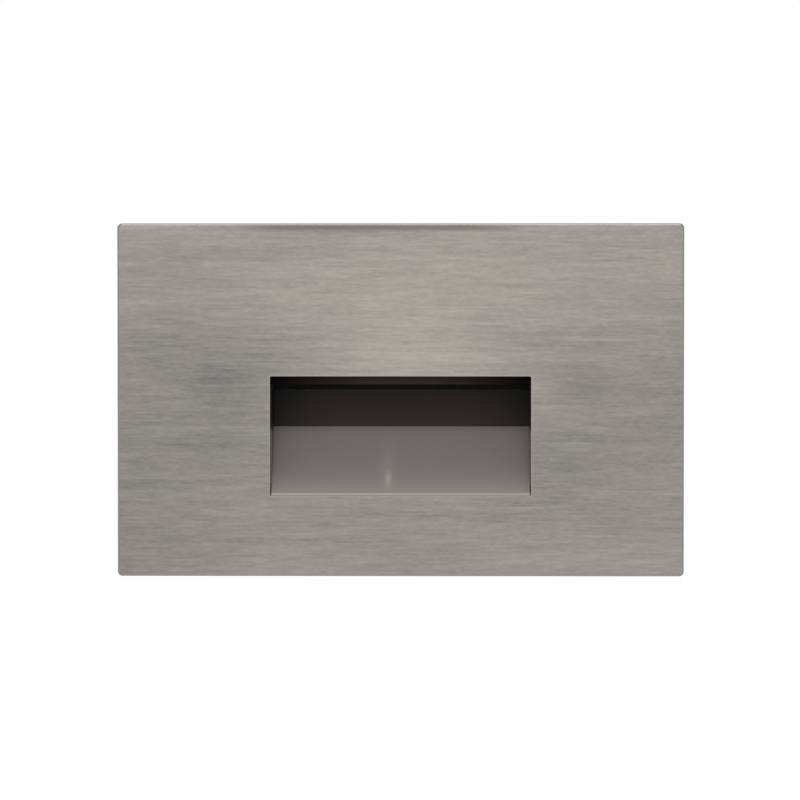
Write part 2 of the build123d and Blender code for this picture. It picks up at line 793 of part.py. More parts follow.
def driver_chip():
    """A small-outline chip with a bevelled top and four legs a side."""
    body = on_board(chip_place, chip_size)
    body = chamfer(body.edges().group_by(Axis.Y)[-1], chip_bevel)
    width, height, depth = chip_size
    x, z = chip_place
    for index in range(chip_legs):
        leg_x = x + (index - (chip_legs - 1) / 2) * chip_leg_pitch
        foot = Pos(leg_x, z) * Rectangle(chip_leg_width, height + 2 * chip_leg_reach)
        body += slab(foot, driver_board_rear, driver_board_rear + chip_leg_thickness)
    return body


def transformer_frame(grow):
    """The ferrite core's outline seen along Z, with its two windows wider by grow."""
    window_w = (core_width - 2 * core_leg - core_post) / 2 + 2 * grow
    window_h = core_height - 2 * core_yoke + 2 * grow
    frame = Rectangle(core_width, core_height)
    for side in (-1, 1):
        frame -= Pos(side * (core_post + core_width - 2 * core_leg) / 4, 0) * Rectangle(window_w, window_h)
    return frame


def transformer_core():
    """Two ferrite E shapes that meet, their middle legs inside the winding."""
    x, z = transformer_place
    middle = driver_board_rear + bobbin_foot + winding_gap + core_height / 2
    core = extrude(transformer_frame(0), core_depth / 2, both=True)
    return Pos(x, middle, z) * core


def transformer_winding():
    """The winding on its bobbin, which stands on the board astride the core."""
    x, z = transformer_place
    front = driver_board_rear + bobbin_foot + winding_gap + core_yoke + winding_gap
    rear = front + core_height - 2 * core_yoke - 2 * winding_gap
    window_w = (core_width - 2 * core_leg - core_post) / 2
    coil_w = core_width - 2 * core_leg - 2 * winding_gap
    coil_h = core_depth + 2 * (window_w - winding_gap)
    coil = RectangleRounded(coil_w, coil_h, winding_corner_r)
    coil -= Rectangle(core_post + 2 * winding_gap, core_depth + 2 * winding_gap)
    winding = slab(Pos(x, z) * coil, front, rear)
    foot_rear = driver_board_rear + bobbin_foot
    winding += slab(Pos(x, z) * Rectangle(core_width, coil_h), driver_board_rear, foot_rear)
    post_h = (coil_h - core_depth) / 2 - winding_gap
    for side in (-1, 1):
        post = Pos(x, z + side * (coil_h - post_h) / 2) * Rectangle(core_post, post_h)
        winding += slab(post, foot_rear, front)
    return winding


def group(pieces):
    """Separate solids that share one node."""
    return Compound([solid for piece in pieces for solid in piece.solids()])


nodes = {
    "faceplate": faceplate(),
    "magnet_cups": group(magnet_cup(x, z) for x, z in magnet_places()),
    "magnets": group(magnet(x, z) for x, z in magnet_places()),
    "mounting_plate": mounting_plate(),
    "wall_gasket": wall_gasket(),
    "housing": housing(),
    "flange_screws": group(Pos(x, flange_front, z) * from_front * flat_screw(m3_flat)
                           for x, z in corners(flange_screw_spacing / 2, flange_screw_z)),
    "scoop": scoop(),
    "scoop_gasket": scoop_gasket(),
    "scoop_screws": group(Pos(x, flange_front, z) * from_front * flat_screw(m25_flat)
                          for x, z in ear_screw_places(-scoop_ear_drop)),
    "led_carrier": led_carrier(),
    "carrier_screws": group(Pos(x, flange_front, z) * from_front * flat_screw(m25_flat)
                            for x, z in ear_screw_places(carrier_ear_height)),
    "lens_bezel": lens_bezel(),
    "bezel_screws": group(Pos(x, y, bezel_bottom) * from_below * flat_screw(m2_flat)
                          for x, y in bezel_screw_places()),
    "lens": lens(),
    "lens_seal": lens_seal(),
    "led_board": led_board(),
    "led_chips": group(led_chip(index) for index in range(led_count)),
    "led_board_screws": group(Pos(x, y, led_board_bottom) * from_below * pan_screw(m2_pan)
                              for x, y in board_screw_places()),
    "thermal_pad": thermal_pad(),
    "led_leads": group(led_lead(x, z) for x, z in lead_places()),
    "lead_grommet": lead_grommet(),
    "rear_cover": rear_cover(),
    "cover_seal": cover_seal(),
    "cover_screws": group(cover_screw(x, z) for x, z in corners(post_x, post_z)),
    "cable_grommet": cable_grommet(),
    "ground_screw": ground_screw(),
    "driver_board": driver_board(),
    "driver_board_screws": group(Pos(side * standoff_x, driver_board_rear, 0) * from_rear * pan_screw(m25_pan)
                                 for side in (-1, 1)),
    "input_terminal": input_terminal(),
    "fuse_resistor": fuse_resistor(),
    "varistor": varistor(),
    "drum_choke": drum_choke(),
    "film_capacitor": on_board(film_place, film_size),
    "bridge_rectifier": bridge_rectifier(),
    "input_capacitor": can_capacitor(input_can_place, input_can_r, input_can_height),
    "output_capacitor": can_capacitor(output_can_place, output_can_r, output_can_height),
    "transformer_core": transformer_core(),
    "transformer_winding": transformer_winding(),
    "driver_chip": driver_chip(),
}

os.makedirs("parts", exist_ok=True)
for name, shape in nodes.items():
    export_step(shape, f"parts/{name}.step")
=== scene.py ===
from math import cos, radians, sin, tau

import bmesh
import bpy
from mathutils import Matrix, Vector


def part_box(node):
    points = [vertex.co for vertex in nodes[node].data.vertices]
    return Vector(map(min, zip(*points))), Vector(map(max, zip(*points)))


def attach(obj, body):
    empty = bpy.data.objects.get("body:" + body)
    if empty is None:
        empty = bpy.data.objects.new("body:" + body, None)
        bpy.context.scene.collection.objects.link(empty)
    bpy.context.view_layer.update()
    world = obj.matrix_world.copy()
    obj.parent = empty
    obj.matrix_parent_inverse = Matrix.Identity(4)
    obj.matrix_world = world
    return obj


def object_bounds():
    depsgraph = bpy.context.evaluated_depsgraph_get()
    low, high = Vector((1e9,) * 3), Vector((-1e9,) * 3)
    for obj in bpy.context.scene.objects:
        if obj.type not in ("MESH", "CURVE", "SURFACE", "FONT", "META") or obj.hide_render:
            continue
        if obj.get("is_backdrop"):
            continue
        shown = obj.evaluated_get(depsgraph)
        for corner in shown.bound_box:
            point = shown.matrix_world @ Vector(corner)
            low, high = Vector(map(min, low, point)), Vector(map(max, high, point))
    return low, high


# A recessed step light: a brushed faceplate that clings by magnets to a plate on the wall box,
# and behind it a die-cast body with a scoop, a lens, the LEDs and their driver.
# Everything is in metres. From the front, +X is to the right, +Z up, and +Y runs into the wall.
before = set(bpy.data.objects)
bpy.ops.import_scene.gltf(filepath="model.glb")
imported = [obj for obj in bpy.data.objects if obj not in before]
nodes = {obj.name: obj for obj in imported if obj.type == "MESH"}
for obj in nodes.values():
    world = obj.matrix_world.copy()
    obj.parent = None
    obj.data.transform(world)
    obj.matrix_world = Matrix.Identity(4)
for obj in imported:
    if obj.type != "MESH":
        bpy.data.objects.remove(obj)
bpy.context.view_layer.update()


# HOUSING
# Die-cast aluminium, left as it comes from the die: the flange, the bay behind it and the finned
# driver room are one casting. Ejector pins leave faint rings on its flange and on the rear cover.
mm = 0.001


def linear(code):
    """An sRGB hex colour as the linear colour that a shader takes."""
    parts = [int(code[i:i + 2], 16) / 255 for i in (1, 3, 5)]
    return (*[p / 12.92 if p <= 0.04045 else ((p + 0.055) / 1.055) ** 2.4 for p in parts], 1)


def add(tree, kind, settings=None, **inputs):
    """Adds a node. An input is named with _ for a space, or numbered as in0, and takes a value, an output,
    or a node, which gives its first output."""
    node = tree.nodes.new("ShaderNode" + kind)
    for name, value in (settings or {}).items():
        setattr(node, name, value)
    for name, value in inputs.items():
        socket = node.inputs[int(name[2:]) if name[2:].isdigit() else name.replace("_", " ")]
        if isinstance(value, bpy.types.Node):
            value = next(end for end in value.outputs if end.enabled)
        if isinstance(value, bpy.types.NodeSocket):
            tree.links.new(value, socket)
        else:
            socket.default_value = value
    return node


def new_material(name):
    """An empty material, its node tree, and the place on the part in metres."""
    material = bpy.data.materials.new(name)
    material.use_nodes = True
    tree = material.node_tree
    tree.nodes.clear()
    return material, tree, add(tree, "TexCoord").outputs["Object"]


def paint(material, *names):
    """Gives a material to CAD nodes by name."""
    for name in names:
        for slot in nodes[name].material_slots:
            slot.material = material


def distance(tree, value, middle):
    """How far a value lies from a middle one, either way."""
    gap = add(tree, "Math", {"operation": "SUBTRACT"}, in0=value, in1=middle)
    return add(tree, "Math", {"operation": "ABSOLUTE"}, in0=gap)


# As-cast aluminium: a frosty skin, cloudy flow marks 14 mm across, and a low parting line round
# the body. The skin's grain is really about 0.15 mm and is drawn at 0.4 mm so that it shows.
parting_y = 12.5 * mm
parting_half = 0.2 * mm
cast_aluminium, tree, place = new_material("aluminium_die_cast")
skin = add(tree, "TexNoise", Vector=place, Scale=1 / (0.4 * mm), Detail=3.0)
flow = add(tree, "TexNoise", Vector=place, Scale=1 / (14 * mm), Detail=3.0, Distortion=1.5)
cloud = add(tree, "MapRange", Value=flow, From_Min=0.35, From_Max=0.65)
depth = add(tree, "SeparateXYZ", Vector=place).outputs["Y"]
from_parting = distance(tree, depth, parting_y)
parting = add(tree, "MapRange", Value=from_parting, From_Max=parting_half, To_Min=1.0, To_Max=0.0)
relief = add(tree, "Math", {"operation": "MULTIPLY_ADD"}, in0=skin, in1=0.5, in2=parting)
tone = add(tree, "Mix", {"data_type": "RGBA"}, in0=cloud, in6=linear("#a2a2a0"), in7=linear("#b0afac"))
gloss = add(tree, "MapRange", Value=flow, From_Min=0.35, From_Max=0.65, To_Min=0.46, To_Max=0.54)
bumps = add(tree, "Bump", Strength=0.8, Distance=0.08 * mm, Height=relief)
surface = add(tree, "BsdfPrincipled", Base_Color=tone, Metallic=1.0, Roughness=gloss, Normal=bumps)
add(tree, "OutputMaterial", Surface=surface)
paint(cast_aluminium, "housing", "rear_cover")


def turned(work, outline, foot, facing, steps=32):
    """Revolves an outline of (radius, height) points about the line that leaves foot towards facing."""
    turn = Vector(facing).to_track_quat("Z", "Y")
    rings = []
    for radius, height in outline:
        ring = [turn @ Vector((radius * cos(tau * i / steps), radius * sin(tau * i / steps), height))
                for i in range(steps)]
        rings.append([work.verts.new(Vector(foot) + point) for point in ring])
    for near, far in zip(rings, rings[1:]):
        for i in range(steps):
            work.faces.new((near[i], near[i - 1], far[i - 1], far[i]))


def finish_piece(name, work, material, body, smooth=True):
    """Turns the mesh being worked on into a piece that rides on a body."""
    bmesh.ops.remove_doubles(work, verts=work.verts, dist=0.001 * mm)
    bmesh.ops.recalc_face_normals(work, faces=work.faces)
    mesh = bpy.data.meshes.new(name)
    work.to_mesh(mesh)
    work.free()
    for face in mesh.polygons:
        face.use_smooth = smooth
    mesh.materials.append(material)
    piece = bpy.data.objects.new(name, mesh)
    bpy.context.scene.collection.objects.link(piece)
    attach(piece, body)


pin_r = 1.6 * mm
pin_rim = 0.25 * mm
pin_height = 0.12 * mm
earth_head = 3.2 * mm
mark = [(pin_r - pin_rim, 0), (pin_r - pin_rim / 2, pin_height), (pin_r, 0)]
flange_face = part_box("housing")[0].y
cover_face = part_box("ground_screw")[1].y - earth_head
work = bmesh.new()
for x, z in ((-11, 22.6), (11, 22.6), (-14, -22.6), (14, -22.6)):
    turned(work, mark, (x * mm, flange_face, z * mm), (0, -1, 0))
for x, z in ((-13.5, 7.6), (13.5, 7.6), (13.5, -7.2), (-10.5, -8.4)):
    turned(work, mark, (x * mm, cover_face, z * mm), (0, 1, 0))
finish_piece("ejector_pin_marks", work, cast_aluminium, "light_body")


# LED BOARD, CHIPS AND LEADS
# An aluminium-cored board with a white mask, screwed face down into the carrier over a silicone
# pad. Three white LEDs are soldered in a row along one track, and two stiff leads feed them.

# White solder mask over an aluminium core: a smooth bright face whose track stands just proud.
board_low, board_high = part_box("led_board")
middle_y = (board_low.y + board_high.y) / 2
track_half = 1.1 * mm
track_edge = 0.1 * mm
mask_top = board_low.z + 0.1 * mm
board_mask, tree, place = new_material("solder_mask_white")
apart = add(tree, "SeparateXYZ", Vector=place)
off_track = distance(tree, apart.outputs["Y"], middle_y)
track = add(tree, "MapRange", Value=off_track, From_Min=track_half, From_Max=track_half + track_edge,
            To_Min=1.0, To_Max=0.0)
speck = add(tree, "TexNoise", Vector=place, Scale=1 / (0.5 * mm), Detail=2.0)
tone = add(tree, "Mix", {"data_type": "RGBA"}, in0=track, in6=linear("#e4e3dc"), in7=linear("#efeee9"))
gloss = add(tree, "MapRange", Value=speck, To_Min=0.28, To_Max=0.4)
bumps = add(tree, "Bump", Strength=0.6, Distance=0.04 * mm, Height=track)
mask = add(tree, "BsdfPrincipled", Base_Color=tone, Roughness=gloss, Normal=bumps)
core = add(tree, "BsdfPrincipled", Base_Color=linear("#b3b3b0"), Metallic=1.0, Roughness=0.35)
above_mask = add(tree, "Math", {"operation": "GREATER_THAN"}, in0=apart.outputs["Z"], in1=mask_top)
add(tree, "OutputMaterial", Surface=add(tree, "MixShader", in0=above_mask, in1=mask, in2=core))
paint(board_mask, "led_board")

# Phosphor under clear silicone: a yellow window set in each chip's white ceramic frame. Its powder
# is about 0.02 mm and is drawn at 0.25 mm so that it shows.
led_pitch = 13 * mm
window_half = (1.35 * mm, 1.05 * mm)
phosphor, tree, place = new_material("phosphor_in_ceramic")
apart = add(tree, "SeparateXYZ", Vector=place)
along = add(tree, "Math", {"operation": "WRAP"}, in0=apart.outputs["X"], in1=led_pitch / 2,
            in2=-led_pitch / 2)
along = add(tree, "Math", {"operation": "ABSOLUTE"}, in0=along)
across = distance(tree, apart.outputs["Y"], middle_y)
in_length = add(tree, "Math", {"operation": "LESS_THAN"}, in0=along, in1=window_half[0])
in_width = add(tree, "Math", {"operation": "LESS_THAN"}, in0=across, in1=window_half[1])
window = add(tree, "Math", {"operation": "MULTIPLY"}, in0=in_length, in1=in_width)
powder = add(tree, "TexNoise", Vector=place, Scale=1 / (0.25 * mm), Detail=3.0)
yellow = add(tree, "Mix", {"data_type": "RGBA"}, in0=powder, in6=linear("#dfb23c"), in7=linear("#f4d263"))
tone = add(tree, "Mix", {"data_type": "RGBA"}, in0=window, in6=linear("#eceae4"), in7=yellow)
gloss = add(tree, "MapRange", Value=window, To_Min=0.5, To_Max=0.18)
sunk = add(tree, "Bump", {"invert": True}, Strength=0.7, Distance=0.1 * mm, Height=window)
surface = add(tree, "BsdfPrincipled", Base_Color=tone, Roughness=gloss, Normal=sunk)
add(tree, "OutputMaterial", Surface=surface)
paint(phosphor, "led_chips")

# Silicone heat pad: soft, blue-grey and matt, with the print of its glass cloth, whose threads are
# 0.8 mm apart. A wave texture repeats every wave_unit at scale 1, here and in the other pieces.
wave_unit = 0.314
thread = 0.8 * mm
pad, tree, place = new_material("silicone_heat_pad")
weft = add(tree, "TexWave", {"bands_direction": "X"}, Vector=place, Scale=wave_unit / thread, Distortion=0.4)
warp = add(tree, "TexWave", {"bands_direction": "Y"}, Vector=place, Scale=wave_unit / thread, Distortion=0.4)
cloth = add(tree, "Math", {"operation": "MULTIPLY"}, in0=weft.outputs["Fac"], in1=warp.outputs["Fac"])
tone = add(tree, "Mix", {"data_type": "RGBA"}, in0=cloth, in6=linear("#9aa5b5"), in7=linear("#b0b9c6"))
bumps = add(tree, "Bump", Strength=0.5, Distance=0.05 * mm, Height=cloth)
surface = add(tree, "BsdfPrincipled", Base_Color=tone, Roughness=0.75, Normal=bumps)
add(tree, "OutputMaterial", Surface=surface)
paint(pad, "thermal_pad")

# PVC insulation, red on one lead and black on the other, stripped and tinned where it is soldered.
lead_low, lead_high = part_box("led_leads")
between_leads = (lead_low.x + lead_high.x) / 2
bare_length = 1.2 * mm
lead_sleeve, tree, place = new_material("pvc_insulation")
apart = add(tree, "SeparateXYZ", Vector=place)
red_side = add(tree, "Math", {"operation": "GREATER_THAN"}, in0=apart.outputs["X"], in1=between_leads)
streak = add(tree, "TexNoise", Vector=place, Scale=1 / (0.6 * mm), Detail=2.0)
red = add(tree, "Mix", {"data_type": "RGBA"}, in0=streak, in6=linear("#b3241e"), in7=linear("#cb372d"))
black = add(tree, "Mix", {"data_type": "RGBA"}, in0=streak, in6=linear("#1c1c1d"), in7=linear("#2c2c2d"))
tone = add(tree, "Mix", {"data_type": "RGBA"}, in0=red_side, in6=black, in7=red)
sleeve = add(tree, "BsdfPrincipled", Base_Color=tone, Roughness=0.38)
tin = add(tree, "BsdfPrincipled", Base_Color=linear("#c4c3bf"), Metallic=1.0, Roughness=0.25)
bare = add(tree, "Math", {"operation": "LESS_THAN"}, in0=apart.outputs["Y"], in1=lead_low.y + bare_length)
add(tree, "OutputMaterial", Surface=add(tree, "MixShader", in0=bare, in1=sleeve, in2=tin))
paint(lead_sleeve, "led_leads")

# Tin solder: bright, smooth and a little wrinkled where it set.
solder, tree, place = new_material("solder_tin")
wrinkle = add(tree, "TexNoise", Vector=place, Scale=1 / (0.6 * mm), Detail=2.0)
gloss = add(tree, "MapRange", Value=wrinkle, To_Min=0.12, To_Max=0.32)
bumps = add(tree, "Bump", Strength=0.4, Distance=0.05 * mm, Height=wrinkle)
surface = add(tree, "BsdfPrincipled", Base_Color=linear("#c9c9c6"), Metallic=1.0, Roughness=gloss,
              Normal=bumps)
add(tree, "OutputMaterial", Surface=surface)

# A bead of solder stands over each lead's bare end and wets the board around it.
lead_r = 0.45 * mm
bead_inset = 0.3 * mm
bead = [(1.05 * mm, 0), (0.9 * mm, 0.18 * mm), (0.6 * mm, 0.5 * mm), (0.3 * mm, 0.62 * mm), (0, 0.66 * mm)]
work = bmesh.new()
for x in (lead_low.x + lead_r, lead_high.x - lead_r):
    turned(work, bead, (x, lead_low.y + bead_inset, board_low.z), (0, 0, -1), 20)
finish_piece("led_solder_joints", work, solder, "light_body")


# LED CARRIER, LENS, SEAL AND BEZEL
# A block of milled aluminium carries the LED board and draws off its heat. The lens lies on the
# bezel's ledge and is pulled up against a silicone seal by the bezel's two screws.

# Milled aluminium: bright, with the cutter's faint arcs 0.8 mm apart catching the light.
from_cutter = (-30 * mm, 20 * mm, 40 * mm)
milled, tree, place = new_material("aluminium_milled")
arcs = add(tree, "TexWave", {"wave_type": "RINGS", "rings_direction": "SPHERICAL"},
           Vector=add(tree, "Mapping", in0=place, Location=from_cutter),
           Scale=wave_unit / (0.8 * mm)).outputs["Fac"]
haze = add(tree, "TexNoise", Vector=place, Scale=1 / (5 * mm), Detail=2.0)
tone = add(tree, "Mix", {"data_type": "RGBA"}, in0=haze, in6=linear("#b6b6b4"), in7=linear("#c6c6c4"))
gloss = add(tree, "MapRange", Value=arcs, To_Min=0.28, To_Max=0.33)
bumps = add(tree, "Bump", Strength=0.08, Distance=0.02 * mm, Height=arcs)
surface = add(tree, "BsdfPrincipled", Base_Color=tone, Metallic=1.0, Roughness=gloss, Normal=bumps)
add(tree, "OutputMaterial", Surface=surface)
paint(milled, "led_carrier")

# Frosted soda-lime glass: the blasted face scatters light, so what lies behind it is a blur. Its
# pits are about 0.05 mm across and are drawn at 0.3 mm so that they show.
frosted, tree, place = new_material("glass_frosted")
blast = add(tree, "TexNoise", Vector=place, Scale=1 / (0.3 * mm), Detail=3.0)
gloss = add(tree, "MapRange", Value=blast, To_Min=0.42, To_Max=0.62)
bumps = add(tree, "Bump", Strength=0.3, Distance=0.03 * mm, Height=blast)
surface = add(tree, "BsdfPrincipled", Base_Color=linear("#eef3f1"), IOR=1.52, Transmission_Weight=0.6,
              Roughness=gloss, Normal=bumps)
add(tree, "OutputMaterial", Surface=surface)
paint(frosted, "lens")

# Silicone rubber, grey: matt, with a moulded skin whose grain, about 0.1 mm, is drawn at 0.5 mm.
silicone, tree, place = new_material("silicone_rubber_grey")
skin = add(tree, "TexNoise", Vector=place, Scale=1 / (0.5 * mm), Detail=2.0)
tone = add(tree, "Mix", {"data_type": "RGBA"}, in0=skin, in6=linear("#bdbdbb"), in7=linear("#cacac8"))
bumps = add(tree, "Bump", Strength=0.3, Distance=0.03 * mm, Height=skin)
surface = add(tree, "BsdfPrincipled", Base_Color=tone, Roughness=0.7, Normal=bumps)
add(tree, "OutputMaterial", Surface=surface)
paint(silicone, "lens_seal")

# Anodised aluminium, dark bronze: a satin metal whose dark tone is partly its own bronze and partly painted
# shade from the faceplate over it, with more painted shade towards the bezel's two ends. The etch under it
# is about 0.05 mm and is drawn at 0.3 mm so that it shows.
unshaded_half = 6 * mm
full_shade_from = 25 * mm
bronze_with_shade, tree, place = new_material("aluminium_bronze_with_painted_shade")
apart = add(tree, "SeparateXYZ", Vector=place)
out = add(tree, "Math", {"operation": "ABSOLUTE"}, in0=apart.outputs["X"])
# Painted shade: the tone darkens towards the bezel's two ends.
end = add(tree, "MapRange", Value=out, From_Min=unshaded_half, From_Max=full_shade_from)
frost = add(tree, "TexNoise", Vector=place, Scale=1 / (0.3 * mm), Detail=2.0)
tone = add(tree, "Mix", {"data_type": "RGBA"}, in0=end, in6=linear("#302822"), in7=linear("#0d0b09"))
gloss = add(tree, "MapRange", Value=frost, To_Min=0.42, To_Max=0.52)
bumps = add(tree, "Bump", Strength=0.15, Distance=0.02 * mm, Height=frost)
surface = add(tree, "BsdfPrincipled", Base_Color=tone, Metallic=1.0, Roughness=gloss, Normal=bumps)
add(tree, "OutputMaterial", Surface=surface)
paint(bronze_with_shade, "lens_bezel")


# SCOOP AND ITS GASKET
# The tray that the light falls into: aluminium sheet, folded, welded at its ends, blasted and then
# lacquered silver. The dark brown on its back wall and sides is painted shade. Foam seals it at the top.

def painted_light_spot(tree, place, x, z, wide, tall, strength):
    """An oval that fades towards its rim, seen from the front: its middle and half sizes are in mm."""
    from_spot = add(tree, "VectorMath", {"operation": "SUBTRACT"}, in0=place, in1=(x * mm, 0, z * mm))
    from_spot = add(tree, "VectorMath", {"operation": "MULTIPLY"}, in0=from_spot,
                    in1=(1 / (wide * mm), 0, 1 / (tall * mm)))
    from_spot = add(tree, "VectorMath", {"operation": "LENGTH"}, in0=from_spot)
    return add(tree, "MapRange", {"interpolation_type": "SMOOTHSTEP"}, Value=from_spot.outputs["Value"],
               To_Min=strength, To_Max=0.0)


# Metallic lacquer over aluminium: a satin grey floor, with painted light paler at its fold and along
# its lip, and a painted glint in a fainter painted glow left of the middle. The back wall and sides are
# painted shade in brown, darkest at the corners and thinning down the sides. The blasted grain is drawn at
# 0.35 mm, not 0.1.
wall_y = 7.65 * mm
tray_half = 26.8 * mm
colour_edge = 0.04 * mm
side_shade_span = (-7.0 * mm, -5.5 * mm)
corner_shade_fade = (14 * mm, 26 * mm)
lip_light_span = (-2.5 * mm, -6.1 * mm)
fold_light_from = 1.0 * mm
glint_spots = ((-2.6, -16.4, 1.1, 2.4, 0.42), (-2.7, -13.0, 2.8, 8.0, 0.12))
lacquer_and_painted_shade, tree, place = new_material("aluminium_lacquer_with_painted_shade")
apart = add(tree, "SeparateXYZ", Vector=place)
out = add(tree, "Math", {"operation": "ABSOLUTE"}, in0=apart.outputs["X"])
# Painted shade: the back wall and the upper sides take a dark brown.
shaded_wall = add(tree, "MapRange", Value=apart.outputs["Y"], From_Min=wall_y, From_Max=wall_y + colour_edge)
shaded_side = add(tree, "MapRange", Value=out, From_Min=tray_half, From_Max=tray_half + colour_edge)
side_shade_rise = add(tree, "MapRange", Value=apart.outputs["Z"], From_Min=side_shade_span[0], From_Max=side_shade_span[1],
                 To_Min=0.5)
shaded_side = add(tree, "Math", {"operation": "MULTIPLY"}, in0=shaded_side, in1=side_shade_rise)
dark = add(tree, "Math", {"operation": "MAXIMUM"}, in0=shaded_wall, in1=shaded_side)
# Painted shade: the brown darkens towards the corners.
end = add(tree, "MapRange", Value=out, From_Min=corner_shade_fade[0], From_Max=corner_shade_fade[1])
shade_brown = add(tree, "Mix", {"data_type": "RGBA"}, in0=end, in6=linear("#241910"), in7=linear("#0c0703"))
# Painted light: the floor is paler towards its lip and towards its fold.
lip_light = add(tree, "MapRange", Value=apart.outputs["Y"], From_Min=lip_light_span[0], From_Max=lip_light_span[1])
fold_light = add(tree, "MapRange", Value=apart.outputs["Y"], From_Min=fold_light_from, From_Max=wall_y)
grey = add(tree, "Mix", {"data_type": "RGBA"}, in0=fold_light, in6=linear("#8b8580"), in7=linear("#95908a"))
grey = add(tree, "Mix", {"data_type": "RGBA"}, in0=lip_light, in6=grey, in7=linear("#948f89"))
# Painted highlight: each spot is a reflection painted on the floor, a small glint and a faint glow above it.
for spot in glint_spots:
    glint = painted_light_spot(tree, place, *spot)
    grey = add(tree, "Mix", {"data_type": "RGBA"}, in0=glint, in6=grey, in7=linear("#c2bdb6"))
tone = add(tree, "Mix", {"data_type": "RGBA"}, in0=dark, in6=grey, in7=shade_brown)
frost = add(tree, "TexNoise", Vector=place, Scale=1 / (0.35 * mm), Detail=2.0)
gloss = add(tree, "MapRange", Value=frost, To_Min=0.46, To_Max=0.54)
bumps = add(tree, "Bump", Strength=0.12, Distance=0.02 * mm, Height=frost)
surface = add(tree, "BsdfPrincipled", Base_Color=tone, Metallic=0.3, Roughness=gloss,
              Specular_IOR_Level=0.3, Normal=bumps)
add(tree, "OutputMaterial", Surface=surface)
paint(lacquer_and_painted_shade, "scoop")

# Closed-cell foam rubber, black: dull, and pitted with cells 0.4 mm across where it was cut.
foam_and_shadow_line, tree, place = new_material("foam_rubber_black")
cells = add(tree, "TexVoronoi", {"feature": "DISTANCE_TO_EDGE"}, Vector=place, Scale=1 / (0.4 * mm))
pit = add(tree, "MapRange", Value=cells, From_Min=0.02, From_Max=0.3, To_Min=1.0, To_Max=0.0)
tone = add(tree, "Mix", {"data_type": "RGBA"}, in0=pit, in6=linear("#100f0f"), in7=linear("#232221"))
bumps = add(tree, "Bump", Strength=0.7, Distance=0.08 * mm, Height=pit)
surface = add(tree, "BsdfPrincipled", Base_Color=tone, Roughness=0.95, Specular_IOR_Level=0.2, Normal=bumps)
add(tree, "OutputMaterial", Surface=surface)
# On the scoop's gasket the black foam also serves as a painted shadow: the dark line under the bezel.
paint(foam_and_shadow_line, "scoop_gasket", "wall_gasket")


# SCREWS
# Stainless machine screws with hexagon sockets: flat heads in the flange, the ears and the bezel,
# and pan heads on the rear cover and the two boards. They are cold headed, rolled and tumbled.

# Stainless steel, tumbled: a soft even sheen with small dings.
tumbled, tree, place = new_material("stainless_steel_tumbled")
dings = add(tree, "TexNoise", Vector=place, Scale=1 / (0.3 * mm), Detail=3.0)
tone = add(tree, "Mix", {"data_type": "RGBA"}, in0=dings, in6=linear("#aca9a3"), in7=linear("#bbb8b2"))
gloss = add(tree, "MapRange", Value=dings, To_Min=0.24, To_Max=0.36)
bumps = add(tree, "Bump", Strength=0.1, Distance=0.02 * mm, Height=dings)
surface = add(tree, "BsdfPrincipled", Base_Color=tone, Metallic=1.0, Roughness=gloss, Normal=bumps)
add(tree, "OutputMaterial", Surface=surface)
paint(tumbled, "flange_screws", "scoop_screws", "carrier_screws", "bezel_screws", "led_board_screws",
      "cover_screws", "driver_board_screws")


# DRIVER BOARD
# A glass-epoxy board with a green mask over its copper, on two standoffs in the driver room. The
# parts stand on its rear face, with outlines printed round them, and are soldered on its front.

# Green solder mask over copper: paler over the lands of copper, which are about 3.5 mm across with
# square and mitred edges, darker where it was etched away, and bare laminate on the sawn edges.
green_mask, tree, place = new_material("glass_epoxy_green")
apart = add(tree, "SeparateXYZ", Vector=place)
flat = add(tree, "CombineXYZ", X=apart.outputs["X"], Y=apart.outputs["Z"])
lands = add(tree, "TexVoronoi", {"voronoi_dimensions": "2D", "distance": "CHEBYCHEV"}, Vector=flat,
            Scale=1 / (3.5 * mm), Randomness=0.3)
copper = add(tree, "SeparateColor", Color=lands.outputs["Color"])
copper = add(tree, "Math", {"operation": "GREATER_THAN"}, in0=copper, in1=0.35)
green = add(tree, "Mix", {"data_type": "RGBA"}, in0=copper, in6=linear("#2b6d49"), in7=linear("#3a8a5c"))
facing = add(tree, "SeparateXYZ", Vector=add(tree, "TexCoord").outputs["Normal"])
facing = add(tree, "Math", {"operation": "ABSOLUTE"}, in0=facing.outputs["Y"])
masked = add(tree, "Math", {"operation": "GREATER_THAN"}, in0=facing, in1=0.5)
weave = add(tree, "TexNoise", Vector=place, Scale=1 / (0.7 * mm), Detail=2.0)
laminate = add(tree, "Mix", {"data_type": "RGBA"}, in0=weave, in6=linear("#a59f62"), in7=linear("#c2bb7e"))
tone = add(tree, "Mix", {"data_type": "RGBA"}, in0=masked, in6=laminate, in7=green)
gloss = add(tree, "MapRange", Value=masked, To_Min=0.8, To_Max=0.33)
bumps = add(tree, "Bump", Strength=0.5, Distance=0.04 * mm, Height=copper)
surface = add(tree, "BsdfPrincipled", Base_Color=tone, Roughness=gloss, Normal=bumps)
add(tree, "OutputMaterial", Surface=surface)
paint(green_mask, "driver_board")


def box(work, low, high):
    """A block between two corners."""
    block = bmesh.ops.create_cube(work, size=1.0)["verts"]
    middle = (Vector(low) + Vector(high)) / 2
    size = Vector(high) - Vector(low)
    for vert in block:
        vert.co = Vector([m + c * s for m, c, s in zip(middle, vert.co, size)])
    return block


# Epoxy ink, white, screened on as a thin line round each part.
ink, tree, place = new_material("epoxy_ink_white")
edge = add(tree, "TexNoise", Vector=place, Scale=1 / (0.2 * mm), Detail=2.0)
tone = add(tree, "Mix", {"data_type": "RGBA"}, in0=edge, in6=linear("#dcdcd6"), in7=linear("#f0f0ec"))
add(tree, "OutputMaterial", Surface=add(tree, "BsdfPrincipled", Base_Color=tone, Roughness=0.6))

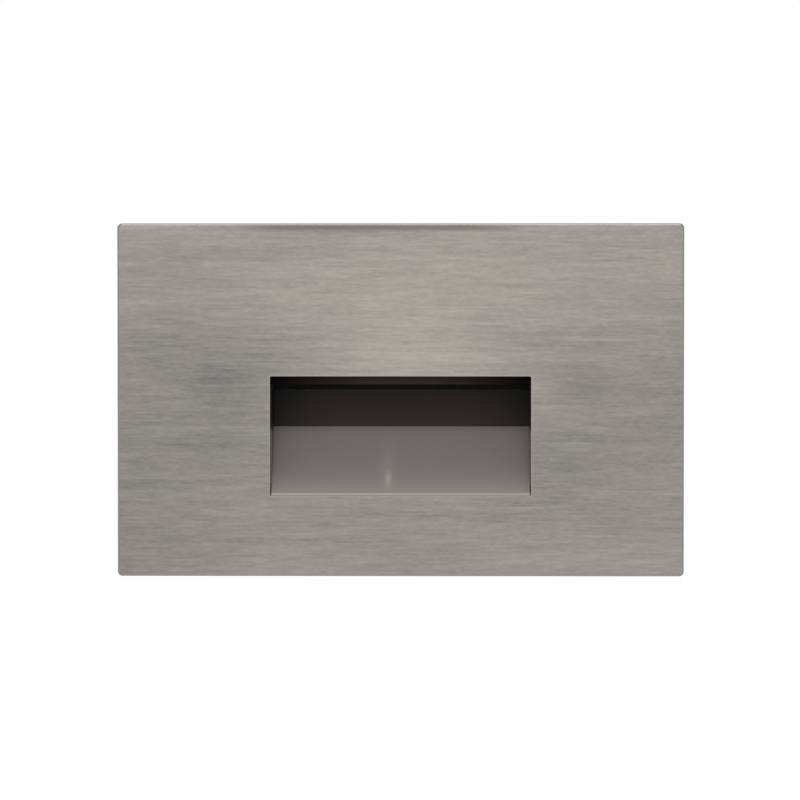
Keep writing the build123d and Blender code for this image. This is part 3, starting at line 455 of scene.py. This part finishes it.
board_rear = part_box("driver_board")[1].y
board_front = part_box("driver_board")[0].y
ink_width = 0.2 * mm
ink_height = 0.03 * mm
ink_gap = 0.1 * mm
work = bmesh.new()
for name in ("input_terminal", "film_capacitor", "bridge_rectifier", "driver_chip", "transformer_winding"):
    low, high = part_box(name)
    left, right = low.x - ink_gap - ink_width, high.x + ink_gap
    foot, head = low.z - ink_gap - ink_width, high.z + ink_gap
    for z in (foot, head):
        box(work, (left, board_rear, z), (right + ink_width, board_rear + ink_height, z + ink_width))
    for x in (left, right):
        box(work, (x, board_rear, foot), (x + ink_width, board_rear + ink_height, head + ink_width))
for name in ("input_capacitor", "output_capacitor", "drum_choke"):
    low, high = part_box(name)
    near = (high.x - low.x) / 2 + ink_gap
    ring = [(near, 0), (near, ink_height), (near + ink_width, ink_height), (near + ink_width, 0)]
    turned(work, ring, ((low.x + high.x) / 2, board_rear, (low.z + high.z) / 2), (0, 1, 0), 48)
finish_piece("driver_board_print", work, ink, "light_body", smooth=False)

# Each part's legs are clipped and soldered on the board's front face, in a small cone of tin. They
# stand this far from the part's middle along X and Z, in mm.
leg_steps = (("input_terminal", 4, 0), ("film_capacitor", 5, 0), ("bridge_rectifier", 2.6, 2.2),
             ("input_capacitor", 2.5, 0), ("output_capacitor", 1.75, 0), ("drum_choke", 2.5, 0),
             ("fuse_resistor", 5.1, 0), ("varistor", 0, 1.85), ("transformer_winding", 5, 5))
joints = []
for name, step_x, step_z in leg_steps:
    low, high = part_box(name)
    x, z = (low.x + high.x) / 2, (low.z + high.z) / 2
    joints += {(x + right * step_x * mm, z + up * step_z * mm) for right in (-1, 1) for up in (-1, 1)}
cone = [(0.8 * mm, 0), (0.62 * mm, 0.12 * mm), (0.38 * mm, 0.5 * mm), (0.3 * mm, 0.95 * mm), (0, 1.0 * mm)]
work = bmesh.new()
for x, z in joints:
    turned(work, cone, (x, board_front, z), (0, -1, 0), 16)
finish_piece("driver_solder_joints", work, solder, "light_body")


# DRIVER PARTS
# The supply comes in at the terminal block, through the fusible resistor, past the varistor, choke
# and film capacitor to the bridge, and is chopped by the chip and transformer for the LEDs.

# Nylon, light grey: moulded, slightly waxy, with a spark-eroded texture drawn at 0.3 mm, not 0.1.
nylon, tree, place = new_material("nylon_grey")
spark = add(tree, "TexNoise", Vector=place, Scale=1 / (0.3 * mm), Detail=3.0)
tone = add(tree, "Mix", {"data_type": "RGBA"}, in0=spark, in6=linear("#d6d6d1"), in7=linear("#e3e3df"))
bumps = add(tree, "Bump", Strength=0.3, Distance=0.03 * mm, Height=spark)
surface = add(tree, "BsdfPrincipled", Base_Color=tone, Roughness=0.48, IOR=1.53, Normal=bumps)
add(tree, "OutputMaterial", Surface=surface)
paint(nylon, "input_terminal")

# A sprung leaf of tinned steel leans across each of the block's entries and grips the wire.
low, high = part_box("input_terminal")
ways = 3
way = (high.x - low.x) / ways
entry_z = (low.z + high.z) / 2 - (high.z - low.z) / 5
entry_floor = high.y - 5 * mm
leaf_half = 0.8 * mm
leaf_length = 2.6 * mm
leaf_low = entry_z - 0.9 * mm
leaf_high = entry_z - 0.7 * mm
leaf_lean = 1.0 * mm
work = bmesh.new()
for index in range(ways):
    x = low.x + (index + 0.5) * way
    leaf = box(work, (x - leaf_half, entry_floor, leaf_low),
               (x + leaf_half, entry_floor + leaf_length, leaf_high))
    for vert in leaf:
        if vert.co.y > entry_floor + leaf_length / 2:
            vert.co.z += leaf_lean
finish_piece("terminal_clamps", work, solder, "light_body", smooth=False)

# Flameproof enamel, blue-green, over a ceramic rod, with painted value rings and tinned leads.
low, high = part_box("fuse_resistor")
centre = (low.x + high.x) / 2
rod_half = 4.52 * mm
ring_half = 0.35 * mm
rings = ((-2.8, "#7a4a24"), (-1.5, "#1d1c1c"), (-0.2, "#1d1c1c"), (2.4, "#b58f3a"))
enamel, tree, place = new_material("enamel_flameproof")
apart = add(tree, "SeparateXYZ", Vector=place)
peel = add(tree, "TexNoise", Vector=place, Scale=1 / (0.8 * mm), Detail=2.0)
tone = add(tree, "Mix", {"data_type": "RGBA"}, in0=peel, in6=linear("#74a5a2"), in7=linear("#86b5b2"))
for offset, code in rings:
    ring = add(tree, "Math", {"operation": "COMPARE"}, in0=apart.outputs["X"], in1=centre + offset * mm,
               in2=ring_half)
    tone = add(tree, "Mix", {"data_type": "RGBA"}, in0=ring, in6=tone, in7=linear(code))
bumps = add(tree, "Bump", Strength=0.2, Distance=0.05 * mm, Height=peel)
coat = add(tree, "BsdfPrincipled", Base_Color=tone, Roughness=0.3, Normal=bumps)
tin = add(tree, "BsdfPrincipled", Base_Color=linear("#c4c3bf"), Metallic=1.0, Roughness=0.25)
out = distance(tree, apart.outputs["X"], centre)
bare = add(tree, "Math", {"operation": "GREATER_THAN"}, in0=out, in1=rod_half)
add(tree, "OutputMaterial", Surface=add(tree, "MixShader", in0=bare, in1=coat, in2=tin))
paint(enamel, "fuse_resistor")

# Dipped epoxy, blue: glossy, with a slow orange peel; the legs below it are tinned.
leg_top = board_rear + 0.4 * mm
dipped, tree, place = new_material("epoxy_dipped_blue")
peel = add(tree, "TexNoise", Vector=place, Scale=1 / (1.2 * mm), Detail=2.0)
tone = add(tree, "Mix", {"data_type": "RGBA"}, in0=peel, in6=linear("#274a92"), in7=linear("#365cab"))
bumps = add(tree, "Bump", Strength=0.3, Distance=0.1 * mm, Height=peel)
coat = add(tree, "BsdfPrincipled", Base_Color=tone, Roughness=0.18, Normal=bumps)
tin = add(tree, "BsdfPrincipled", Base_Color=linear("#c4c3bf"), Metallic=1.0, Roughness=0.25)
depth = add(tree, "SeparateXYZ", Vector=place).outputs["Y"]
bare = add(tree, "Math", {"operation": "LESS_THAN"}, in0=depth, in1=leg_top)
add(tree, "OutputMaterial", Surface=add(tree, "MixShader", in0=bare, in1=coat, in2=tin))
paint(dipped, "varistor")

# Heat-shrink sleeve, black, drawn tight over the choke's windings, whose ridges show at 0.5 mm; the
# drum's ground ferrite face is left open at the top.
low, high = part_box("drum_choke")
drum_middle = ((low.x + high.x) / 2, 0, (low.z + high.z) / 2)
open_r = 3.6 * mm
face_y = high.y - 0.05 * mm
turn = 0.5 * mm
shrunk, tree, place = new_material("heat_shrink_black")
turns = add(tree, "TexWave", {"bands_direction": "Y"}, Vector=place, Scale=wave_unit / turn,
            Distortion=0.6).outputs["Fac"]
tone = add(tree, "Mix", {"data_type": "RGBA"}, in0=turns, in6=linear("#1f1f20"), in7=linear("#38383a"))
bumps = add(tree, "Bump", Strength=0.5, Distance=0.08 * mm, Height=turns)
sleeve = add(tree, "BsdfPrincipled", Base_Color=tone, Roughness=0.42, Normal=bumps)
grit = add(tree, "TexNoise", Vector=place, Scale=1 / (0.3 * mm), Detail=3.0)
grey = add(tree, "Mix", {"data_type": "RGBA"}, in0=grit, in6=linear("#535356"), in7=linear("#6a6a6c"))
ground = add(tree, "BsdfPrincipled", Base_Color=grey, Metallic=0.2, Roughness=0.55)
flat = add(tree, "VectorMath", {"operation": "MULTIPLY"}, in0=place, in1=(1, 0, 1))
spread = add(tree, "VectorMath", {"operation": "DISTANCE"}, in0=flat, in1=drum_middle).outputs["Value"]
inner = add(tree, "Math", {"operation": "LESS_THAN"}, in0=spread, in1=open_r)
depth = add(tree, "SeparateXYZ", Vector=place).outputs["Y"]
top = add(tree, "Math", {"operation": "GREATER_THAN"}, in0=depth, in1=face_y)
face = add(tree, "Math", {"operation": "MULTIPLY"}, in0=inner, in1=top)
add(tree, "OutputMaterial", Surface=add(tree, "MixShader", in0=face, in1=sleeve, in2=ground))
paint(shrunk, "drum_choke")

# Polyester case, yellow: moulded, half glossy, with a fine texture drawn at 0.4 mm, not 0.1.
polyester, tree, place = new_material("polyester_case_yellow")
spark = add(tree, "TexNoise", Vector=place, Scale=1 / (0.4 * mm), Detail=3.0)
tone = add(tree, "Mix", {"data_type": "RGBA"}, in0=spark, in6=linear("#d9bd49"), in7=linear("#e7ce5c"))
bumps = add(tree, "Bump", Strength=0.25, Distance=0.03 * mm, Height=spark)
surface = add(tree, "BsdfPrincipled", Base_Color=tone, Roughness=0.34, Normal=bumps)
add(tree, "OutputMaterial", Surface=surface)
paint(polyester, "film_capacitor")

# Epoxy moulding compound, black: dull, with a glass filler drawn at 0.15 mm, which is really about
# 0.05 mm. The feet of the bridge and the chip are tinned.
foot_top = board_rear + 0.26 * mm
compound, tree, place = new_material("epoxy_moulding_black")
filler = add(tree, "TexNoise", Vector=place, Scale=1 / (0.15 * mm), Detail=3.0)
tone = add(tree, "Mix", {"data_type": "RGBA"}, in0=filler, in6=linear("#28282a"), in7=linear("#3c3c3e"))
bumps = add(tree, "Bump", Strength=0.3, Distance=0.02 * mm, Height=filler)
case = add(tree, "BsdfPrincipled", Base_Color=tone, Roughness=0.6, Normal=bumps)
tin = add(tree, "BsdfPrincipled", Base_Color=linear("#c4c3bf"), Metallic=1.0, Roughness=0.25)
depth = add(tree, "SeparateXYZ", Vector=place).outputs["Y"]
foot = add(tree, "Math", {"operation": "LESS_THAN"}, in0=depth, in1=foot_top)
add(tree, "OutputMaterial", Surface=add(tree, "MixShader", in0=foot, in1=case, in2=tin))
paint(compound, "bridge_rectifier", "driver_chip")

# PVC sleeve, dark blue-black and glossy, with the paler stripe that marks the negative side.
stripe_share = 0.12
for name in ("input_capacitor", "output_capacitor"):
    low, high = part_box(name)
    stripe_x = high.x - stripe_share * (high.x - low.x)
    sleeve_pvc, tree, place = new_material("pvc_sleeve_" + name)
    apart = add(tree, "SeparateXYZ", Vector=place)
    stripe = add(tree, "Math", {"operation": "GREATER_THAN"}, in0=apart.outputs["X"], in1=stripe_x)
    crease = add(tree, "TexNoise", Vector=place, Scale=1 / (1.5 * mm), Detail=2.0)
    dark = add(tree, "Mix", {"data_type": "RGBA"}, in0=crease, in6=linear("#25262f"), in7=linear("#343541"))
    tone = add(tree, "Mix", {"data_type": "RGBA"}, in0=stripe, in6=dark, in7=linear("#8f96a3"))
    bumps = add(tree, "Bump", Strength=0.15, Distance=0.1 * mm, Height=crease)
    surface = add(tree, "BsdfPrincipled", Base_Color=tone, Roughness=0.25, Normal=bumps)
    add(tree, "OutputMaterial", Surface=surface)
    paint(sleeve_pvc, name)

# The can's bare aluminium shows inside the sleeve's rolled edge, scored with a cross that lets it
# burst safely. The cross is the gap between four low pads.
disc_share = 0.78
disc_bevel = 0.02
disc_foot = -0.02 * mm
disc_top = 0.03 * mm
pad_share = 0.34
pad_top = 0.08 * mm
score_half = 0.15 * mm
work = bmesh.new()
for name in ("input_capacitor", "output_capacitor"):
    low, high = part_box(name)
    x, z = (low.x + high.x) / 2, (low.z + high.z) / 2
    can_r = (high.x - low.x) / 2
    disc = [(can_r * disc_share, disc_foot), (can_r * (disc_share - disc_bevel), disc_top), (0, disc_top)]
    turned(work, disc, (x, high.y, z), (0, 1, 0), 48)
    pad_end = score_half + can_r * pad_share
    for right in (-1, 1):
        for up in (-1, 1):
            ends = sorted((x + right * score_half, x + right * pad_end))
            sides = sorted((z + up * score_half, z + up * pad_end))
            box(work, (ends[0], high.y, sides[0]), (ends[1], high.y + pad_top, sides[1]))
finish_piece("capacitor_vents", work, milled, "light_body", smooth=False)

# Ferrite, sintered and ground: dark grey and stony, with low chips 1.5 mm across. Its grain is far
# finer than the 0.25 mm at which it is drawn.
ferrite, tree, place = new_material("ferrite_ground")
grit = add(tree, "TexNoise", Vector=place, Scale=1 / (0.25 * mm), Detail=4.0)
chips = add(tree, "TexVoronoi", Vector=place, Scale=1 / (1.5 * mm))
tone = add(tree, "Mix", {"data_type": "RGBA"}, in0=grit, in6=linear("#4a4a4d"), in7=linear("#69696c"))
bumps = add(tree, "Bump", Strength=0.25, Distance=0.05 * mm, Height=chips)
surface = add(tree, "BsdfPrincipled", Base_Color=tone, Metallic=0.2, Roughness=0.5, Normal=bumps)
add(tree, "OutputMaterial", Surface=surface)
paint(ferrite, "transformer_core")

# Polyester tape, clear yellow, lapped over the coil in turns 1.8 mm wide, on a black bobbin.
lap = 1.8 * mm
lap_rise = 0.25 * mm
coil_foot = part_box("transformer_winding")[1].y - 7.0 * mm
tape, tree, place = new_material("polyester_tape_yellow")
apart = add(tree, "SeparateXYZ", Vector=place)
laps = add(tree, "Math", {"operation": "WRAP"}, in0=apart.outputs["Y"], in1=lap, in2=0.0)
lap_edge = add(tree, "MapRange", Value=laps, From_Max=lap_rise)
tone = add(tree, "Mix", {"data_type": "RGBA"}, in0=lap_edge, in6=linear("#c3a63e"), in7=linear("#e6d36c"))
bumps = add(tree, "Bump", Strength=0.4, Distance=0.05 * mm, Height=lap_edge)
wrap = add(tree, "BsdfPrincipled", Base_Color=tone, Roughness=0.22, Normal=bumps)
bobbin = add(tree, "BsdfPrincipled", Base_Color=linear("#262423"), Roughness=0.45)
below = add(tree, "Math", {"operation": "LESS_THAN"}, in0=apart.outputs["Y"], in1=coil_foot)
add(tree, "OutputMaterial", Surface=add(tree, "MixShader", in0=below, in1=wrap, in2=bobbin))
paint(tape, "transformer_winding")


# REAR COVER, SEALS AND EARTH SCREW
# The cover closes the driver room on a rubber ring. The supply cable comes in through a rubber
# grommet, and its earth wire goes under a green hexagon screw whose washer bites into the metal.

# Nitrile rubber, black: matt, dusty in patches, with a moulded skin drawn at 0.5 mm, not 0.1.
rubber, tree, place = new_material("nitrile_rubber_black")
skin = add(tree, "TexNoise", Vector=place, Scale=1 / (0.5 * mm), Detail=3.0)
dust = add(tree, "TexNoise", Vector=place, Scale=1 / (6 * mm), Detail=2.0)
tone = add(tree, "Mix", {"data_type": "RGBA"}, in0=dust, in6=linear("#1a1a1a"), in7=linear("#32312f"))
gloss = add(tree, "MapRange", Value=dust, To_Min=0.55, To_Max=0.8)
bumps = add(tree, "Bump", Strength=0.3, Distance=0.04 * mm, Height=skin)
surface = add(tree, "BsdfPrincipled", Base_Color=tone, Roughness=gloss, Normal=bumps)
add(tree, "OutputMaterial", Surface=surface)
paint(rubber, "lead_grommet", "cover_seal", "cable_grommet")

# Zinc plate dyed green: a metallic green that thins to silver in patches.
green_zinc, tree, place = new_material("zinc_plate_green")
thin = add(tree, "TexNoise", Vector=place, Scale=1 / (2.5 * mm), Detail=3.0)
patch = add(tree, "MapRange", Value=thin, From_Min=0.5, From_Max=0.75)
tone = add(tree, "Mix", {"data_type": "RGBA"}, in0=patch, in6=linear("#3d8a5e"), in7=linear("#8fb39c"))
gloss = add(tree, "MapRange", Value=thin, To_Min=0.25, To_Max=0.42)
surface = add(tree, "BsdfPrincipled", Base_Color=tone, Metallic=1.0, Roughness=gloss)
add(tree, "OutputMaterial", Surface=surface)
paint(green_zinc, "ground_screw")

# The washer's rim is cut into saw teeth that stop the screw from working loose.
low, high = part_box("ground_screw")
screw_x, screw_z = (low.x + high.x) / 2, (low.z + high.z) / 2
washer_r = (high.x - low.x) / 2
root_r = washer_r - 0.1 * mm
tip_r = washer_r + 0.22 * mm
washer_top = cover_face + 0.7 * mm
teeth = 28
tooth_share = 0.8
work = bmesh.new()
for index in range(teeth):
    near, far = tau * index / teeth, tau * (index + tooth_share) / teeth
    tooth = [(root_r, near), (tip_r, near), (root_r, far)]
    lower, upper = [[work.verts.new((screw_x + r * cos(a), y, screw_z + r * sin(a))) for r, a in tooth]
                    for y in (cover_face, washer_top)]
    work.faces.new(lower)
    work.faces.new(upper)
    for i in range(3):
        work.faces.new((lower[i - 1], lower[i], upper[i], upper[i - 1]))
finish_piece("earth_washer_teeth", work, green_zinc, "light_body", smooth=False)


# MOUNTING PLATE
# Pressed from zinc-coated steel sheet, with a stepped rim over a foam gasket. Two screws through
# its slots fix it to the wall box, and the housing's flange is screwed to its face.

# Hot-dip zinc: a cool silver with small spangles about 2.5 mm across, each with its own shade and
# gloss, over rolling lines 0.4 mm apart.
rolling_per_metre = (60, 2500, 2500)
zinc, tree, place = new_material("steel_zinc_coated")
spangle = add(tree, "TexVoronoi", Vector=place, Scale=1 / (2.5 * mm))
shade = add(tree, "SeparateColor", Color=spangle.outputs["Color"])
stretched = add(tree, "Mapping", in0=place, Scale=rolling_per_metre)
rolling = add(tree, "TexNoise", Vector=stretched, Scale=1.0, Detail=2.0)
tone = add(tree, "Mix", {"data_type": "RGBA"}, in0=shade, in6=linear("#b6b9bb"), in7=linear("#c3c5c7"))
gloss = add(tree, "MapRange", Value=shade.outputs["Green"], To_Min=0.36, To_Max=0.44)
bumps = add(tree, "Bump", Strength=0.2, Distance=0.02 * mm, Height=rolling)
surface = add(tree, "BsdfPrincipled", Base_Color=tone, Metallic=1.0, Roughness=gloss, Normal=bumps)
add(tree, "OutputMaterial", Surface=surface)
paint(zinc, "mounting_plate")


# FACEPLATE AND MAGNETS
# A shallow pan of 2 mm stainless steel, folded and then brushed along its width with a belt. Four
# pot magnets, glued behind it, hold it on the mounting plate, so it pulls off by hand.

def strokes(tree, place, length, width, seed):
    """Strokes of that length and width, along X, or along Z on the two side returns."""
    sideways = 0.7
    row_jump = 17.3  # to a far part of the noise, so that strokes side by side have nothing in common
    apart = add(tree, "SeparateXYZ", Vector=place)
    facing = add(tree, "SeparateXYZ", Vector=add(tree, "TexCoord").outputs["Normal"])
    turned_away = add(tree, "Math", {"operation": "ABSOLUTE"}, in0=facing.outputs["X"])
    on_return = add(tree, "Math", {"operation": "GREATER_THAN"}, in0=turned_away, in1=sideways)
    height = add(tree, "Math", {"operation": "ADD"}, in0=apart.outputs["Y"], in1=apart.outputs["Z"])
    along = add(tree, "Mix", in0=on_return, in2=apart.outputs["X"], in3=apart.outputs["Z"])
    across = add(tree, "Mix", in0=on_return, in2=height, in3=apart.outputs["Y"])
    along = add(tree, "Math", {"operation": "MULTIPLY_ADD"}, in0=along, in1=1 / length, in2=seed)
    across = add(tree, "Math", {"operation": "MULTIPLY_ADD"}, in0=across, in1=1 / width, in2=seed)
    row = add(tree, "Math", {"operation": "FLOOR"}, in0=across)
    row = add(tree, "Math", {"operation": "MULTIPLY"}, in0=row, in1=row_jump)
    spot = add(tree, "CombineXYZ", X=along, Y=row)
    return add(tree, "TexNoise", {"noise_dimensions": "2D"}, Vector=spot, Scale=1.0, Detail=1.0)


# Brushed stainless steel: straight strokes with a soft sheen across them, in faint cool and warm clouds
# that partly stand in for soft reflections, with painted light above the opening, painted shade beside it
# and a painted highlight along the edges. Real strokes are about 0.05 mm wide; these are drawn at 0.3 to 0.4
# mm, in bands of 1.1 mm, so that they show.
# The clouds' scale and shift were picked by a search, so that they lie about where the photo's do.
plate_low, plate_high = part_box("faceplate")
cloud_and_reflection_per_metre = (14, 20, 34)
cloud_and_reflection_shift = (22.1, 0, 24.7)
painted_light_spots = ((0, 8, 32, 13, 0.28), (38, 3, 11, 8, -0.18))
brushed, tree, place = new_material("stainless_steel_brushed")
fine = strokes(tree, place, 1.6 * mm, 0.32 * mm, 3.7)
coarse = strokes(tree, place, 8 * mm, 0.42 * mm, 11.2)
bands = strokes(tree, place, 50 * mm, 1.1 * mm, 5.9)
# The clouds are partly tone and partly painted reflection, set where soft reflections lie across the face.
stretched = add(tree, "Mapping", in0=place, Location=cloud_and_reflection_shift, Scale=cloud_and_reflection_per_metre)
cloud = add(tree, "TexNoise", Vector=stretched, Scale=1.0, Detail=1.5)
level = 0.5
for layer, weight in ((fine, 0.33), (coarse, 0.42), (bands, 0.3), (cloud, 0.85)):
    centred = add(tree, "Math", {"operation": "SUBTRACT"}, in0=layer, in1=0.5)
    level = add(tree, "Math", {"operation": "MULTIPLY_ADD"}, in0=centred, in1=weight, in2=level)
apart = add(tree, "SeparateXYZ", Vector=place)
to_side = add(tree, "Math", {"operation": "ABSOLUTE"}, in0=apart.outputs["X"])
mirrored = add(tree, "CombineXYZ", X=to_side, Z=apart.outputs["Z"])
# Painted light: a paler patch above the opening, and painted shade in a duller patch at each side of it.
for spot in painted_light_spots:
    level = add(tree, "Math", {"operation": "ADD"}, in0=level, in1=painted_light_spot(tree, mirrored, *spot))
steel = add(tree, "Mix", {"data_type": "RGBA"}, in0=level, in6=linear("#5f5f5b"), in7=linear("#938e87"))

# Painted on the face: a long darker band under the top edge, and a painted highlight along every front
# edge. An edge has its half width, half height and middle height, where its highlight starts and is full,
# measured outwards, and how strong it is.
streak_middle = -4.5 * mm
streak_rise = (34.6 * mm, 35.6 * mm)
streak_fade = (18 * mm, 34 * mm)
edge_depth = 0.3 * mm
outer_edge = (plate_high.x, plate_high.z, 0.0, -0.5 * mm, -0.15 * mm, 0.9)
opening_edge = (27.1 * mm, 12.4 * mm, -7.5 * mm, 0.3 * mm, 0.1 * mm, 0.6)
top_streak = add(tree, "MapRange", {"interpolation_type": "SMOOTHSTEP"}, Value=apart.outputs["Z"],
                 From_Min=streak_rise[0], From_Max=streak_rise[1], To_Max=0.75)
from_streak = distance(tree, apart.outputs["X"], streak_middle)
in_streak = add(tree, "MapRange", {"interpolation_type": "SMOOTHSTEP"}, Value=from_streak,
                From_Min=streak_fade[0], From_Max=streak_fade[1], To_Min=1.0, To_Max=0.0)
top_streak = add(tree, "Math", {"operation": "MULTIPLY"}, in0=top_streak, in1=in_streak)
steel = add(tree, "Mix", {"data_type": "RGBA"}, in0=top_streak, in6=steel, in7=linear("#5d5954"))
near_front = add(tree, "MapRange", Value=apart.outputs["Y"], From_Min=plate_low.y + edge_depth,
                 From_Max=plate_low.y + 2 * edge_depth, To_Min=1.0, To_Max=0.0)
for half_width, half_height, middle_z, none_at, full_at, highlight_strength in (outer_edge, opening_edge):
    past_top = distance(tree, apart.outputs["Z"], middle_z)
    past_top = add(tree, "Math", {"operation": "SUBTRACT"}, in0=past_top, in1=half_height)
    past_side = add(tree, "Math", {"operation": "SUBTRACT"}, in0=to_side, in1=half_width)
    past_edge = add(tree, "Math", {"operation": "MAXIMUM"}, in0=past_side, in1=past_top)
    # Painted highlight: a brighter line along the front edge.
    edge_highlight = add(tree, "MapRange", Value=past_edge, From_Min=none_at, From_Max=full_at, To_Max=highlight_strength)
    edge_highlight = add(tree, "Math", {"operation": "MULTIPLY"}, in0=edge_highlight, in1=near_front)
    steel = add(tree, "Mix", {"data_type": "RGBA"}, in0=edge_highlight, in6=steel, in7=linear("#8e8982"))
grain_way = add(tree, "CombineXYZ", X=1.0, Z=0.01)
bumps = add(tree, "Bump", Strength=0.15, Distance=0.02 * mm, Height=fine)
surface = add(tree, "BsdfPrincipled", Base_Color=steel, Metallic=1.0, Roughness=0.36, Anisotropic=0.75,
              Anisotropic_Rotation=0.25, Tangent=grain_way, Normal=bumps)
add(tree, "OutputMaterial", Surface=surface)
paint(brushed, "faceplate")

# Bright nickel over drawn steel: almost a mirror, with a few duller rubs.
nickel, tree, place = new_material("nickel_plate_bright")
rubs = add(tree, "TexNoise", Vector=place, Scale=1 / (1.2 * mm), Detail=4.0)
tone = add(tree, "Mix", {"data_type": "RGBA"}, in0=rubs, in6=linear("#b4b1a9"), in7=linear("#cfccc4"))
gloss = add(tree, "MapRange", Value=rubs, To_Min=0.12, To_Max=0.32)
surface = add(tree, "BsdfPrincipled", Base_Color=tone, Metallic=1.0, Roughness=gloss)
add(tree, "OutputMaterial", Surface=surface)
paint(nickel, "magnet_cups")

# Nickel over a sintered magnet: a greyer plate, softened by the grain under it.
sintered, tree, place = new_material("nickel_plate_on_magnet")
grain = add(tree, "TexNoise", Vector=place, Scale=1 / (0.3 * mm), Detail=3.0)
tone = add(tree, "Mix", {"data_type": "RGBA"}, in0=grain, in6=linear("#acaba6"), in7=linear("#b6b5b0"))
gloss = add(tree, "MapRange", Value=grain, To_Min=0.22, To_Max=0.3)
bumps = add(tree, "Bump", Strength=0.05, Distance=0.01 * mm, Height=grain)
surface = add(tree, "BsdfPrincipled", Base_Color=tone, Metallic=1.0, Roughness=gloss, Normal=bumps)
add(tree, "OutputMaterial", Surface=surface)
paint(sintered, "magnets")

# A bead of grey adhesive squeezes out round the foot of each cup, a little uneven: it swells and
# thins three times round, out of step from side to side, and seven times round, more faintly.
cup_low, cup_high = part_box("magnet_cups")
cup_r = 3.95 * mm
bead = [(cup_r - 0.02 * mm, 0.68 * mm), (cup_r + 0.26 * mm, 0.63 * mm), (cup_r + 0.5 * mm, 0.47 * mm),
        (cup_r + 0.67 * mm, 0.24 * mm), (cup_r + 0.72 * mm, 0.0)]
bead_steps = 40
slow_swell = 0.12
quick_swell = 0.06
work = bmesh.new()
for x in (cup_low.x + cup_r, cup_high.x - cup_r):
    for z in (cup_low.z + cup_r, cup_high.z - cup_r):
        first = len(work.verts)
        turned(work, bead, (x, cup_low.y, z), (0, 1, 0), bead_steps)
        work.verts.ensure_lookup_table()
        for index, vert in enumerate(work.verts[first:]):
            around = tau * (index % bead_steps) / bead_steps
            swell = slow_swell * sin(3 * around + x * 900) + quick_swell * sin(7 * around)
            away = Vector((vert.co.x - x, 0, vert.co.z - z))
            reach = away.length - cup_r
            if reach > 0:
                vert.co += away.normalized() * reach * swell
finish_piece("magnet_adhesive", work, silicone, "faceplate_set")


# STUDIO
# A pale floor below the light, a white surround and one large softbox above and in front, at a
# level where a white card that faces the camera would render just under white.

def seen(tree):
    """1 for the rays that show the surround: from the camera, in a reflection or through the glass."""
    path = add(tree, "LightPath")
    direct = add(tree, "Math", {"operation": "MAXIMUM"}, in0=path.outputs["Is Camera Ray"],
                 in1=path.outputs["Is Glossy Ray"])
    return add(tree, "Math", {"operation": "MAXIMUM"}, in0=direct, in1=path.outputs["Is Transmission Ray"])


# The floor lies well below the light, so that a view from under it isn't blocked.
floor_half = 6.0
floor_z = -0.65
floor_glow = 0.65
white, tree = new_material("studio_floor")[:2]
glow = add(tree, "Emission", Color=(1, 1, 1, 1), Strength=floor_glow)
fill = add(tree, "MixShader", in0=seen(tree), in2=glow)
matt = add(tree, "BsdfDiffuse", Color=linear("#e6e6e6"))
add(tree, "OutputMaterial", Surface=add(tree, "AddShader", in0=matt, in1=fill))
mesh = bpy.data.meshes.new("studio_floor")
work = bmesh.new()
bmesh.ops.create_grid(work, x_segments=1, y_segments=1, size=floor_half)
work.to_mesh(mesh)
work.free()
mesh.materials.append(white)
floor = bpy.data.objects.new("studio_floor", mesh)
floor.location = (0, 0, floor_z)
bpy.context.scene.collection.objects.link(floor)
floor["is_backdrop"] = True

fill_level = 0.65
world = bpy.data.worlds.new("studio")
world.use_nodes = True
bpy.context.scene.world = world
tree = world.node_tree
tree.nodes.clear()
level = add(tree, "MapRange", Value=seen(tree), To_Min=fill_level, To_Max=1.0)
add(tree, "OutputWorld", Surface=add(tree, "Background", Color=(1, 1, 1, 1), Strength=level))

softbox_place = Vector((0.0, -1.0, 0.65))
light = bpy.data.lights.new("front_softbox", "AREA")
light.shape = "RECTANGLE"
light.size = 0.6
light.size_y = 0.5
light.energy = 5.0
softbox = bpy.data.objects.new("front_softbox", light)
softbox.location = softbox_place
softbox.rotation_euler = (-softbox_place).to_track_quat("-Z", "Y").to_euler()
bpy.context.scene.collection.objects.link(softbox)

# The camera stands almost straight in front, a touch high and to the right.
camera_distance = 0.82
camera_azimuth = radians(0.85)
camera_elevation = radians(1.5)
view = bpy.data.cameras.new("camera")
view.lens = 178.0
view.sensor_width = 36.0
view.shift_x = -0.0006
camera = bpy.data.objects.new("camera", view)
target = Vector((0, plate_low.y, 0))
level_reach = cos(camera_elevation)
back = Vector((sin(camera_azimuth) * level_reach, -cos(camera_azimuth) * level_reach, sin(camera_elevation)))
camera.location = target + back * camera_distance
camera.rotation_euler = (-back).to_track_quat("-Z", "Y").to_euler()
bpy.context.scene.collection.objects.link(camera)
bpy.context.scene.camera = camera
bpy.context.scene.view_settings.view_transform = "Standard"

low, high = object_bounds()
